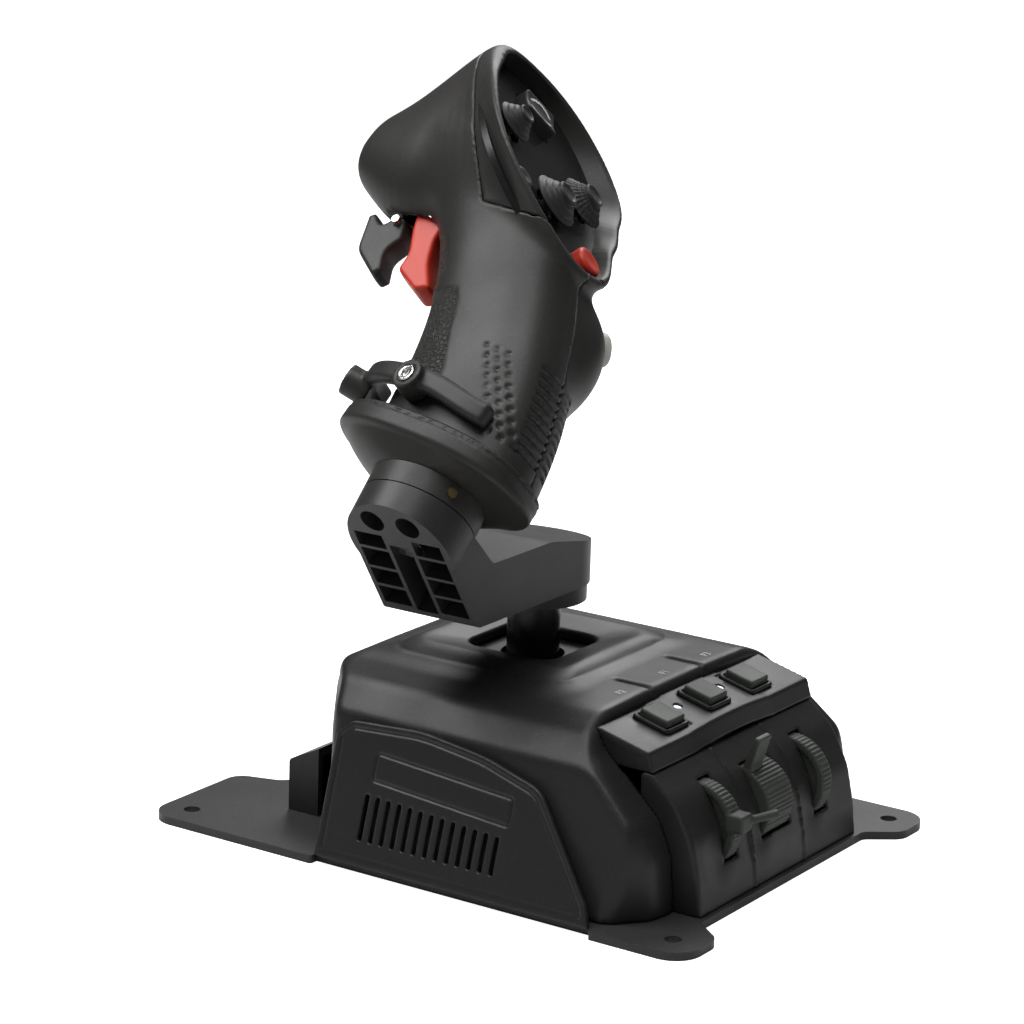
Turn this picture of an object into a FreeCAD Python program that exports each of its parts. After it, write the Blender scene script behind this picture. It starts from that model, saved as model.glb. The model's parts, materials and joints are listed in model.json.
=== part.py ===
import FreeCAD, Part
import math
import os
import re

# Flight joystick for desk use: a steel base plate with a moulded housing, a
# two-axis gimbal, an adapter arm that leans the grip 45 degrees to the right,
# and a left-hand grip with triggers, hats, buttons and a hand rest.
# X points right, Y away from the user, Z up; the origin is on the stick's own
# axis at the underside of the base plate. All sizes are in millimetres.

os.makedirs("parts", exist_ok=True)
doc = FreeCAD.newDocument("FlightJoystick")
V = FreeCAD.Vector
Z_AXIS = V(0, 0, 1)

# Driving dimensions: alias, value, note.
DIMENSIONS = [
    ("plate_half_width", 86.6, "base plate, half width"),
    ("plate_thick", 3.0, "steel plate"),
    ("plate_front", 107.0, "front edge between the ears, from the stick axis"),
    ("plate_rear", 105.9, "rear edge of the rear ears"),
    ("ear_reach", 11.6, "front ears beyond the front edge"),
    ("ear_width", 30.0, "front ear at its root"),
    ("mount_spacing_x", 150.0, "mounting holes, across"),
    ("mount_front", 107.5, "front mounting holes, from the stick axis"),
    ("mount_rear", 94.7, "rear mounting holes, from the stick axis"),
    ("mount_hole", 6.0, "mounting hole diameter"),
    ("deck_height", 67.0, "top of the housing"),
    ("deck_half_width", 47.0, "flat part of the deck"),
    ("wall", 2.6, "housing wall"),
    ("side_lean", 0.3, "side walls lean in, mm per mm of height"),
    ("side_thick", 2.4, "side panel"),
    ("side_gap", 0.3, "side panel to plate and housing"),
    ("rear_wall", 60.0, "rear wall of the housing"),
    ("well_half", 18.5, "well opening, half size"),
    ("rim_half", 32.0, "crest of the rim round the well"),
    ("rim_rise", 2.8, "rim crest above the deck"),
    ("front_half_width", 54.0, "wheel panel and button strip"),
    ("strip_rear", 62.0, "rear edge of the button strip"),
    ("strip_height", 59.0, "button strip under the caps"),
    ("panel_wall", 2.2, "wheel panel wall"),
    ("wheel_pitch", 31.0, "wheel spacing across"),
    ("wheel_y", 89.8, "wheel axis in front of the stick axis"),
    ("wheel_z", 27.3, "wheel axis height"),
    ("wheel_radius", 15.8, "outer wheels"),
    ("roller_radius", 14.8, "middle wheel"),
    ("wheel_width", 6.4, "outer wheels"),
    ("roller_width", 17.0, "middle wheel"),
    ("axle_radius", 2.0, "wheel axles"),
    ("running_gap", 0.05, "radial clearance of running fits"),
    ("slot_gap", 0.6, "between wheels and their slots"),
    ("key_pitch", 28.5, "function buttons across"),
    ("key_y", 71.3, "function buttons in front of the stick axis"),
    ("key_size", 11.6, "function button cap"),
    ("key_rise", 4.2, "cap top above the strip"),
    ("key_gap", 0.4, "cap to bezel"),
    ("connector_height", 22.0, "rear connector box at its back"),
    ("connector_back", 68.0, "rear face of the connector box"),
    ("connector_half_width", 53.0, "connector box"),
    ("pivot_height", 38.0, "gimbal centre"),
    ("frame_half", 31.0, "gimbal frame, outside"),
    ("frame_wall", 6.0, "gimbal frame wall"),
    ("yoke_half", 22.0, "gimbal yoke, outside"),
    ("yoke_wall", 7.0, "gimbal yoke ring"),
    ("yoke_height", 16.0, "gimbal yoke"),
    ("trunnion_radius", 4.0, "gimbal trunnions"),
    ("bearing_radius", 7.0, "gimbal bearings, outside"),
    ("bearing_width", 4.0, "gimbal bearings"),
    ("hub_half", 11.0, "stick hub"),
    ("shaft_radius", 9.5, "stick shaft, outside"),
    ("shaft_bore", 7.0, "stick shaft, inside radius"),
    ("shaft_top", 102.0, "top of the stick shaft"),
    ("dust_hole", 11.5, "hole radius in the dust slides"),
    ("dust_thick", 1.6, "dust slides"),
    ("dust_top", 63.0, "upper face of the upper dust slide"),
    ("dust_travel", 6.0, "free way of each dust slide"),
    ("arm_bottom", 90.3, "underside of the adapter arm"),
    ("arm_height", 21.0, "adapter arm"),
    ("arm_half_width", 19.5, "adapter arm"),
    ("clamp_thick", 6.3, "clamp ring under the arm"),
    ("clamp_radius", 18.6, "clamp ring, outside"),
    ("seat_x", -73.6, "centre of the grip seat"),
    ("seat_z", 128.5, "height of the grip seat centre"),
    ("grip_lean", 45.0, "lean of the grip to the right, degrees"),
    ("neck_radius", 20.6, "neck under the grip"),
    ("post_radius", 8.0, "twist post"),
    ("collar_height", 8.0, "collar above the neck"),
    ("seat_gap", 0.4, "neck to collar"),
    ("grip_half_width", 21.0, "handle, half width"),
    ("grip_wall", 2.6, "handle wall"),
    ("flange_thick", 9.0, "band of the lip"),
    ("handle_foot", 24.8, "middle of the lip at the foot of the handle"),
    ("lip_centre", 1.5, "middle of the lip, ahead of the grip's axis"),
    ("lip_slope", 9.0, "lip, rising forward, degrees"),
    ("lip_half_width", 26.5, "lip, half width"),
    ("lip_half_length", 39.5, "lip, half length"),
    ("rest_gap", 4.5, "lip to hand rest"),
    ("rest_height", 8.0, "hand rest"),
    ("boss_radius", 5.6, "screw bosses of the hand rest"),
    ("head_wall", 2.8, "head wall"),
    ("face_depth", 7.0, "face panel below the rim of the head"),
    ("face_thick", 2.4, "face panel"),
    ("cap_radius", 10.3, "thumb hat and mini-stick caps"),
    ("cap_clear", 2.6, "caps above the face panel"),
    ("stem_radius", 3.0, "stems of the hats and the mini-stick"),
    ("bush_radius", 5.2, "rings that carry the hats"),
    ("hat_pin", 0.8, "pins of the rings that carry the hats"),
    ("hat_lift", 3.4, "pivot of the hats below the face panel"),
    ("button_gap", 0.4, "round buttons to their holes"),
    ("nose_button_radius", 6.2, "button on the nose"),
    ("thumb_button_radius", 6.2, "button on the thumb rest"),
    ("trigger_width", 12.0, "trigger blade"),
    ("trigger_gap", 0.6, "trigger to its slot"),
    ("pin_radius", 1.5, "trigger pins"),
    ("screw_head", 2.75, "cap screw head radius"),
    ("screw_shank", 1.5, "cap screw shank radius"),
]

sheet = doc.addObject("Spreadsheet::Sheet", "sizes")
for row, (alias, value, note) in enumerate(DIMENSIONS, start=1):
    sheet.set(f"A{row}", alias)
    sheet.set(f"B{row}", str(value))
    sheet.set(f"C{row}", note)
    sheet.setAlias(f"B{row}", alias)
doc.recompute()


class Sizes:
    """Plain numbers read from the sheet by alias."""

    def __getattr__(self, alias):
        return float(sheet.get(alias))


size = Sizes()
subParts = []


# ---------------------------------------------------------------- helpers

def bound(obj, prop, text):
    """Bind a property to a formula of sheet aliases."""
    obj.setExpression(prop, re.sub(r"[a-z][a-z_]+", lambda m: "sizes." + m.group(), text))


def turned(base, axis):
    """A placement at base whose Z runs along axis."""
    return FreeCAD.Placement(V(*base), FreeCAD.Rotation(Z_AXIS, V(*axis)))


def block(name, length, width, height, base=(0, 0, 0), centred=True):
    """A box; sizes are formulas, base is the middle of its underside."""
    box = doc.addObject("Part::Box", name)
    bound(box, "Length", length)
    bound(box, "Width", width)
    bound(box, "Height", height)
    doc.recompute([box])
    shift = V(-box.Length.Value / 2, -box.Width.Value / 2, 0) if centred else V()
    box.Placement = FreeCAD.Placement(V(*base) + shift, FreeCAD.Rotation())
    return box


def rod(name, radius, length, base=(0, 0, 0), axis=(0, 0, 1)):
    """A cylinder from base along axis."""
    cylinder = doc.addObject("Part::Cylinder", name)
    bound(cylinder, "Radius", radius)
    bound(cylinder, "Height", length)
    cylinder.Placement = turned(base, axis)
    return cylinder


def cut(name, base, *tools):
    """Base less each tool."""
    result = base
    for index, tool in enumerate(tools):
        step = doc.addObject("Part::Cut", name if index == len(tools) - 1 else f"{name}_{index}")
        step.Base = result
        step.Tool = tool
        result = step
    return result


def fuse(name, *objects):
    """One solid of several."""
    result = doc.addObject("Part::MultiFuse", name)
    result.Shapes = list(objects)
    result.Refine = True
    return result


def group(name, objects):
    """Separate solids in one node."""
    result = doc.addObject("Part::Compound", name)
    result.Links = list(objects)
    return result


def feature(name, shape):
    """An object with a shape of its own."""
    result = doc.addObject("Part::Feature", name)
    result.Shape = shape
    return result


def tube(name, outer, inner, length, base=(0, 0, 0), axis=(0, 0, 1)):
    """A bored cylinder."""
    return cut(name, rod(name + "_outside", outer, length, base, axis),
               rod(name + "_bore", inner, length, base, axis))


def publish(obj, label, placement=None):
    """Name a sub-part and, where given, place it."""
    obj.Label = label
    if placement is not None:
        obj.Placement = placement
    subParts.append(obj)
    return obj


def originPlane(body, role):
    """The body's own origin plane with this role."""
    return next(item for item in body.Origin.OriginFeatures if item.Role == role)


def sketchOn(body, name, geometry, role="XY_Plane"):
    """A sketch of closed outlines on one of the body's origin planes."""
    sketch = body.newObject("Sketcher::SketchObject", name)
    sketch.AttachmentSupport = [(originPlane(body, role), "")]
    sketch.MapMode = "FlatFace"
    sketch.addGeometry(geometry, False)
    return sketch


def roundedOutline(points):
    """Lines and arcs round a closed outline of (x, y, corner radius)."""
    count = len(points)
    ends = []
    for i in range(count):
        here = V(points[i][0], points[i][1], 0)
        radius = points[i][2]
        back = V(points[i - 1][0], points[i - 1][1], 0) - here
        ahead = V(points[(i + 1) % count][0], points[(i + 1) % count][1], 0) - here
        if radius <= 0:
            ends.append((here, None, here))
            continue
        half = back.getAngle(ahead) / 2
        reach = radius / math.tan(half)
        back.normalize()
        ahead.normalize()
        middle = back + ahead
        middle.normalize()
        crown = here + middle * (radius / math.sin(half) - radius)
        ends.append((here + back * reach, crown, here + ahead * reach))
    geometry = []
    for i in range(count):
        start, crown, stop = ends[i]
        if crown is not None:
            geometry.append(Part.Arc(start, crown, stop))
        following = ends[(i + 1) % count][0]
        if (following - stop).Length > 1e-6:
            geometry.append(Part.LineSegment(stop, following))
    return geometry


def outlineFace(points):
    """A flat face in XY inside a rounded outline."""
    edges = [item.toShape() for item in roundedOutline(points)]
    return Part.Face(Part.Wire(Part.__sortEdges__(edges)))


def mirrorX(points):
    """Close an outline given for +X, front to rear, with its mirror image."""
    return points + [(-x, y, r) for x, y, r in reversed(points)]


def prismX(profile, halfWidth):
    """Extrude a (y, z, corner radius) outline between -halfWidth and +halfWidth in X."""
    face = outlineFace(profile)
    face.Placement = FreeCAD.Placement(V(-halfWidth, 0, 0), FreeCAD.Rotation(V(0, 1, 0), V(0, 0, 1), V(1, 0, 0), "ZXY"))
    return face.extrude(V(2 * halfWidth, 0, 0))


def prismY(profile, start, stop):
    """Extrude an (x, z, corner radius) outline from start to stop in Y."""
    face = outlineFace(profile)
    face.Placement = FreeCAD.Placement(V(0, start, 0), FreeCAD.Rotation(V(1, 0, 0), V(0, 0, 1), V(0, -1, 0), "ZXY"))
    return face.extrude(V(0, stop - start, 0))


def prismZ(profile, start, stop):
    """Extrude an (x, y, corner radius) outline from start to stop in Z."""
    face = outlineFace(profile)
    face.translate(V(0, 0, start))
    return face.extrude(V(0, 0, stop - start))


def box(xs, ys, zs):
    """A plain box between two values on each axis."""
    return Part.makeBox(xs[1] - xs[0], ys[1] - ys[0], zs[1] - zs[0], V(xs[0], ys[0], zs[0]))


# The grip has a frame of its own: Z runs up the handle from the seat, Y points
# forward and X to the grip's right. The face frame sits on the head's rear face.
gripFrame = FreeCAD.Placement(V(size.seat_x, 0, size.seat_z), FreeCAD.Rotation(V(0, 1, 0), size.grip_lean))
faceNormal = V(-0.219, -0.778, 0.586)
faceNormal.normalize()
faceUp = Z_AXIS - faceNormal * faceNormal.z
faceUp.normalize()
faceAcross = faceUp.cross(faceNormal)
faceInGrip = FreeCAD.Placement(V(0, 20, 154.5), FreeCAD.Rotation(faceAcross, faceUp, faceNormal, "ZXY"))
faceFrame = gripFrame.multiply(faceInGrip)


# ---------------------------------------------------------------- base

def makeBasePlate():
    """Steel plate with four slotless ears and a clearance hole in each."""
    side = size.plate_half_width
    notch = side - size.side_lean * size.plate_thick - size.side_thick - size.side_gap
    half = [
        (0, -size.plate_front, 0),
        (side - size.ear_width, -size.plate_front, 4),
        (side - size.ear_width + 9, -size.plate_front - size.ear_reach, 7),
        (side, -size.plate_front - size.ear_reach, 10.5),
        (side, -81.3, 1),
        (notch, -81.3, 0),
        (notch, 32.8, 0),
        (side, 32.8, 1),
        (side, size.plate_rear, 10),
        (35, size.plate_rear, 7),
        (29, 86, 8),
        (0, 86, 0),
    ]
    outline = [point for point in mirrorX(half) if point[0] != 0]
    body = doc.addObject("PartDesign::Body", "plateBody")
    sketch = sketchOn(body, "plateOutline", roundedOutline(outline))
    pad = body.newObject("PartDesign::Pad", "platePad")
    pad.Profile = sketch
    bound(pad, "Length", "plate_thick")
    doc.recompute()
    holes = [Part.Circle(V(x, y, 0), Z_AXIS, size.mount_hole / 2)
             for x in (-size.mount_spacing_x / 2, size.mount_spacing_x / 2)
             for y in (-size.mount_front, size.mount_rear)]
    holes += [Part.Circle(V(x, y, 0), Z_AXIS, size.screw_shank + size.running_gap) for x, y in basePostPlaces()]
    holeSketch = sketchOn(body, "plateHoles", holes)
    pocket = body.newObject("PartDesign::Pocket", "platePocket")
    pocket.Profile = holeSketch
    pocket.Reversed = True
    pocket.Type = "ThroughAll"
    publish(body, "base_plate")


def basePostPlaces():
    """Where the housing is screwed to the plate."""
    return [(x, y) for x in (-44, 44) for y in (42,)] + [(x, -70) for x in (-63, 63)]


def housingSolid(inset):
    """The housing's outer form, or the same form drawn in by the wall."""
    base = size.plate_thick
    foot = size.plate_half_width - size.side_thick - size.side_gap - inset
    top = size.deck_height - inset
    lean = size.side_lean
    shoulder = 51.0 - inset
    across = [(foot - lean * base, base, 0), (foot - lean * shoulder, shoulder, 8),
              (59 - inset, 61 - inset, 12), (size.deck_half_width - inset, top - 1.2, 20), (0, top, 0)]
    acrossFace = [point for point in mirrorX(across) if point[0] != 0]
    front = -96 + inset
    rear = size.rear_wall - inset
    along = [(front, base, 0), (front + 2.5, 22, 20), (front + 8, 35, 18), (front + 19, 45 - inset / 2, 25),
             (front + 30, 54.5 - inset, 14), (-size.strip_rear + inset, 62 - inset, 3),
             (-size.strip_rear + inset, top, 4), (46 - inset, top, 14), (rear - 5, 53 - inset / 2, 16), (rear, 32, 10), (rear, base, 0)]
    plan = [(56.5, front, 6), (66, front + 2, 10), (78, front + 12, 8), (foot, front + 17, 4), (foot, 31, 8),
            (58 - inset, 42 - inset / 2, 14), (46 - inset, 52, 12), (40 - inset, rear, 8)]
    long = size.plate_half_width * 2
    solid = prismY(acrossFace, -long, long)
    solid = solid.common(prismX(along, long))
    return solid.common(prismZ(mirrorX(plan), 0, long))


def rimSolid(footX, footY, crest, low, high):
    """A four-sided frustum with rounded corners from a foot to a crest."""
    lower = outlineFace([(-footX, -footY, 12), (footX, -footY, 12), (footX, footY, 12), (-footX, footY, 12)])
    upper = outlineFace([(-crest, -crest, 9), (crest, -crest, 9), (crest, crest, 9), (-crest, crest, 9)])
    lower.translate(V(0, 0, low))
    upper.translate(V(0, 0, high))
    return Part.makeLoft([lower.OuterWire, upper.OuterWire], True, True)


def makeUpperShell():
    """Moulded housing: crowned deck, rim and well for the stick, open front, screw posts."""
    deck = size.deck_height
    crest = deck + size.rim_rise
    outer = housingSolid(0)
    rim = rimSolid(47, 42, size.rim_half, deck - size.wall, crest)
    form = outer.fuse(rim)
    inner = housingSolid(size.wall)
    shell = form.cut(inner)
    dish = rimSolid(size.well_half, size.well_half, size.rim_half - 1.5, deck + 0.3, crest + 0.01)
    shell = shell.cut(dish)
    well = size.well_half
    shell = shell.cut(prismZ([(-well, -well, 8), (well, -well, 8), (well, well, 8), (-well, well, 8)], deck - 9, crest + 1))
    opening = size.front_half_width + size.side_gap
    shell = shell.cut(box((-opening, opening), (-120, -size.strip_rear + size.side_gap), (0, 80)))
    for x, y in basePostPlaces():
        post = Part.makeCylinder(4, 60, V(x, y, size.plate_thick)).common(outer)
        shell = shell.fuse(post).cut(Part.makeCylinder(size.screw_shank, 14, V(x, y, 0)))
    slot = 0.8
    for x in (-17, 17):
        for start, stop in ((-size.strip_rear - 1, -45), (43, 50)):
            shell = shell.cut(box((x - slot / 2, x + slot / 2), (start, stop), (deck - 1.4, deck + 1)))
    connector = size.connector_half_width - 4
    shell = shell.cut(box((-connector, connector), (50, 70), (0, size.connector_height - 4)))
    publish(feature("upperShell", shell.removeSplitter()), "base_upper_shell")


def makeSidePanels():
    """Flat side panels with vent slots and a sunk frame for a label."""
    lean = math.atan(size.side_lean)
    rise = 1 / math.cos(lean)
    body = doc.addObject("PartDesign::Body", "sideBody")
    outline = [(32.5, 0, 0), (32.5, 45, 0), (26.8, 50, 1), (-2.6, 51.7, 60), (-28.7, 48.7, 60),
               (-52.5, 42.5, 12), (-77.8, 10.2, 4), (-81, 0, 0)]
    sketch = sketchOn(body, "sideOutline", roundedOutline([(y, z * rise, r) for y, z, r in outline]))
    pad = body.newObject("PartDesign::Pad", "sidePad")
    pad.Profile = sketch
    bound(pad, "Length", "side_thick")
    doc.recompute()
    slots = []
    slotCount = 13
    slotWidth = 1.8
    for i in range(slotCount):
        middle = 15 - i * 4.55
        low = 12.0
        high = 28.5 - 0.25 * i
        slots += roundedOutline([(middle - slotWidth / 2, low, 0.8), (middle + slotWidth / 2, low, 0.8),
                                 (middle + slotWidth / 2, high, 0.8), (middle - slotWidth / 2, high, 0.8)])
    slotSketch = sketchOn(body, "sideSlots", slots)
    slotPocket = body.newObject("PartDesign::Pocket", "sideSlotPocket")
    slotPocket.Profile = slotSketch
    slotPocket.Reversed = True
    slotPocket.Type = "ThroughAll"
    doc.recompute()
    label = roundedOutline([(-43, 29.5, 1.2), (14, 33.5, 1.2), (14, 43, 1.2), (-43, 39, 1.2)])
    labelSketch = sketchOn(body, "sideLabel", label)
    labelPocket = body.newObject("PartDesign::Pocket", "sideLabelPocket")
    labelPocket.Profile = labelSketch
    labelPocket.Reversed = True
    labelPocket.Length = 0.6
    doc.recompute()
    up = V(math.sin(lean), 0, math.cos(lean))
    inward = V(math.cos(lean), 0, -math.sin(lean))
    frame = FreeCAD.Placement(V(-size.plate_half_width, 0, 0), FreeCAD.Rotation(V(0, 1, 0), up, inward, "ZXY"))
    publish(body, "left_side_panel", frame)
    doc.recompute()
    mirror = doc.addObject("Part::Mirroring", "rightSide")
    mirror.Source = body
    mirror.Normal = V(1, 0, 0)
    publish(mirror, "right_side_panel")


def wheelPlaces():
    """Name, x, radius and width formulas of the three wheels."""
    return [("lever_wheel", -size.wheel_pitch, "wheel_radius", "wheel_width"),
            ("paddle_wheel", 0.0, "roller_radius", "roller_width"),
            ("encoder_wheel", size.wheel_pitch, "wheel_radius", "wheel_width")]


def makeWheelPanel():
    """Curved front panel with a slot for each wheel and end cheeks."""
    def profile(inset, back):
        return [(back, size.plate_thick, 0), (back, 49.5 - inset, 0), (-84 + inset / 2, 49.5 - inset, 2),
                (-94.3 + inset, 40.7 - inset / 2, 22), (-101 + inset, 28, 22), (-104 + inset, 14.7, 22),
                (-105.2 + inset, size.plate_thick, 0)]
    half = size.front_half_width
    wall = size.panel_wall
    shell = prismX(profile(0, -80), half).cut(prismX(profile(wall, -70), half - wall))
    for name, x, radius, width in wheelPlaces():
        reach = getattr(size, radius) + size.slot_gap
        span = getattr(size, width) + 2 * size.slot_gap
        slot = Part.makeCylinder(reach, span, V(x - span / 2, -size.wheel_y, size.wheel_z), V(1, 0, 0))
        shell = shell.cut(slot)
    for x in (-17, 17):
        rib = prismX(profile(-0.7, -84), 0.5).cut(prismX(profile(wall / 2, -70), 1))
        rib.translate(V(x, 0, 0))
        shell = shell.fuse(rib)
    shell = shell.common(box((-half, half), (-120, -60), (size.plate_thick, 49.5)))
    publish(feature("wheelPanel", shell.removeSplitter()), "front_wheel_panel")


def keyFrame(x):
    """Frame on the sloping strip under one function button."""
    rise = 1.2 if x == 0 else 0.0
    return FreeCAD.Placement(V(x, -size.key_y, size.strip_height + rise), FreeCAD.Rotation(V(1, 0, 0), 14))


def keyPlaces():
    """X of the function buttons, left to right."""
    return [-size.key_pitch, 0.0, size.key_pitch]


def makeButtonStrip():
    """Sloping strip above the wheels with square holes and two lamp holes."""
    half = size.front_half_width
    rear = -size.strip_rear + size.side_gap
    z = size.strip_height
    profile = [(rear, z + 2.6, 0), (-82.5, z - 2.5, 1.5), (-84.6, z - 9.2, 0), (-82.2, z - 9.2, 0),
               (-80.6, z - 4.8, 0), (rear, z - 0.2, 0)]
    strip = prismX(profile, half)
    hole = size.key_size / 2 + size.key_gap
    for x in keyPlaces():
        frame = keyFrame(x)
        pad = box((-8, 8), (-8, 8), (-2.6, 0))
        pad.Placement = frame
        opening = box((-hole, hole), (-hole, hole), (-8, 8))
        above = box((-8.1, 8.1), (-8.1, 8.1), (0, 6))
        for cutter in (opening, above):
            cutter.Placement = frame
        strip = strip.fuse(pad).cut(above).cut(opening)
    for x in (-size.key_pitch / 2, size.key_pitch / 2):
        lamp = Part.makeCylinder(1.5, 12, V(0, 0, -6))
        lamp.Placement = lampFrame(x)
        strip = strip.cut(lamp)
    publish(feature("buttonStrip", strip.removeSplitter()), "button_strip")


def lampFrame(x):
    """Frame of one lamp on the strip."""
    return FreeCAD.Placement(V(x, -size.key_y + 2, size.strip_height + 0.6), FreeCAD.Rotation(V(1, 0, 0), 14))


def makeKeysAndLamps():
    """Square function buttons, their bezels and the two lamps."""
    bezels = []
    for number, x in enumerate(keyPlaces(), start=1):
        frame = keyFrame(x)
        outside = block(f"bezelOutside{number}", "key_size + 4", "key_size + 4", "1.6")
        inside = block(f"bezelInside{number}", "key_size + key_gap * 2", "key_size + key_gap * 2", "1.6")
        bezel = cut(f"bezel{number}", outside, inside)
        bezel.Placement = frame
        bezels.append(bezel)
        key = block(f"key{number}", "key_size", "key_size", "key_rise + 3.4", (0, 0, -3.4))
        edges = doc.addObject("Part::Fillet", f"keyFillet{number}")
        edges.Base = key
        doc.recompute()
        edges.Edges = [(i + 1, 0.9, 0.9) for i, edge in enumerate(key.Shape.Edges)
                       if edge.BoundBox.ZMin > -3 or edge.BoundBox.ZLength > 1]
        publish(edges, f"function_button_{number}", frame)
    publish(group("bezels", bezels), "button_bezels")
    lamps = []
    for number, x in enumerate((-size.key_pitch / 2, size.key_pitch / 2), start=1):
        lamp = rod(f"lamp{number}", "1.5", "2.2")
        lamp.Placement = lampFrame(x).multiply(FreeCAD.Placement(V(0, 0, -1.9), FreeCAD.Rotation()))
        lamps.append(lamp)
    publish(group("lamps", lamps), "lamp_lenses")


def makeConnectorBox():
    """Low box at the rear with the socket for the lead."""
    half = size.connector_half_width
    height = size.connector_height
    back = size.connector_back
    front = 55.0
    wall = size.wall
    base = size.plate_thick
    outer = prismX([(front, base, 0), (front, height + 6.5, 0), (back, height, 2), (back, base, 0)], half)
    inner = prismX([(front - 2, base, 0), (front - 2, height - wall + 6.5, 0), (back - wall, height - wall, 0),
                    (back - wall, base, 0)], half - wall)
    shell = outer.cut(inner).cut(housingSolid(0))
    shell = shell.cut(box((-6.2, 6.2), (back - wall - 1, back + 1), (8, 16.5)))
    publish(feature("connectorBox", shell), "rear_connector_box")
    body = block("socketBody", "12.4", "12", "8.5", (0, back - 6, 8))
    mouth = block("socketMouth", "9", "8", "3.2", (0, back - 3, 10.7))
    tongue = block("socketTongue", "6.8", "7", "0.8", (0, back - 4.5, 11.9))
    publish(fuse("socket", cut("socketShell", body, mouth), tongue), "usb_socket")


def makeDustSlides():
    """Two flat slides that close the well round the stick."""
    hole = size.dust_hole
    travel = size.dust_travel
    top = size.dust_top
    thick = size.dust_thick
    gap = 0.3
    half = size.well_half + travel + 1
    upper = prismZ([(-half, -half, 3), (half, -half, 3), (half, half, 3), (-half, half, 3)], top - thick, top)
    upper = upper.cut(Part.makeCylinder(hole, thick + 2, V(0, 0, top - thick - 1)))
    publish(feature("dustUpper", upper), "dust_slide_upper")
    low = top - 2 * thick - gap
    lower = prismZ([(-half, -half, 3), (half, -half, 3), (half, half, 3), (-half, half, 3)], low, low + thick)
    long = hole + travel + 0.5
    slot = prismZ([(-hole, -long, hole - 0.1), (hole, -long, hole - 0.1), (hole, long, hole - 0.1),
                   (-hole, long, hole - 0.1)], low - 1, low + thick + 1)
    publish(feature("dustLower", lower.cut(slot)), "dust_slide_lower")


def makeWheels():
    """Three thumb wheels on one axle, and the bracket that carries it."""
    y = -size.wheel_y
    z = size.wheel_z
    for name, x, radius, width in wheelPlaces():
        half = getattr(size, width) / 2
        wheel = rod(name + "Rim", radius, width, (x - half, y, z), (1, 0, 0))
        pieces = [wheel]
        if name == "lever_wheel":
            pieces.append(block("leverBlock", "7.2", "6", "6.4", (x, y - size.wheel_radius, z + 0.4)))
            pieces.append(rod("leverRod", "1.5", "12", (x + 2, y - size.wheel_radius - 1, z + 3.6), (0.80, -0.58, 0.15)))
        if name == "paddle_wheel":
            paddle = block("paddleBlade", "8.4", "3.2", "27", (-4.2, 0, 0))
            paddle.Placement = FreeCAD.Placement(V(0, y, z), FreeCAD.Rotation(V(1, 0, 0), 18)).multiply(paddle.Placement)
            pieces.append(paddle)
        form = fuse(name + "Form", *pieces) if len(pieces) > 1 else wheel
        bore = rod(name + "Bore", "axle_radius + running_gap", width, (x - half, y, z), (1, 0, 0))
        publish(cut(name + "Cut", form, bore), name)
    lugs = [block(f"lug{i}", "2.4", "16", "wheel_z + 3.5 - plate_thick", (x, y + 3, size.plate_thick))
            for i, x in enumerate((-44, -17, 17, 44))]
    floor = block("bracketFloor", "90.4", "16", "2", (0, y + 3, size.plate_thick))
    hole = rod("bracketBore", "axle_radius", "92", (-46, y, z), (1, 0, 0))
    publish(cut("bracket", fuse("bracketForm", floor, *lugs), hole), "wheel_bracket")
    publish(rod("axle", "axle_radius", "90.4", (-45.2, y, z), (1, 0, 0)), "wheel_axle")


def makeBoardAndScrews():
    """Circuit board beside the gimbal and the screws under the plate."""
    posts = [rod(f"boardPost{i}", "2.5", "4", (x, y, size.plate_thick))
             for i, (x, y) in enumerate(((-62, -30), (-40, -30), (-62, 20), (-40, 20)))]
    board = block("board", "30", "60", "1.6", (-51, -5, size.plate_thick + 4))
    chip = block("boardChip", "10", "10", "1.4", (-51, -8, size.plate_thick + 5.6))
    header = block("boardHeader", "6", "20", "5", (-60, 8, size.plate_thick + 5.6))
    publish(fuse("boardForm", board, chip, header, *posts), "main_board")
    screws = []
    for number, (x, y) in enumerate(basePostPlaces()):
        screws.append(rod(f"baseScrew{number}", "screw_shank", "plate_thick + 11", (x, y, 0)))
    publish(group("baseScrews", screws), "base_screws")


# ---------------------------------------------------------------- gimbal

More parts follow.
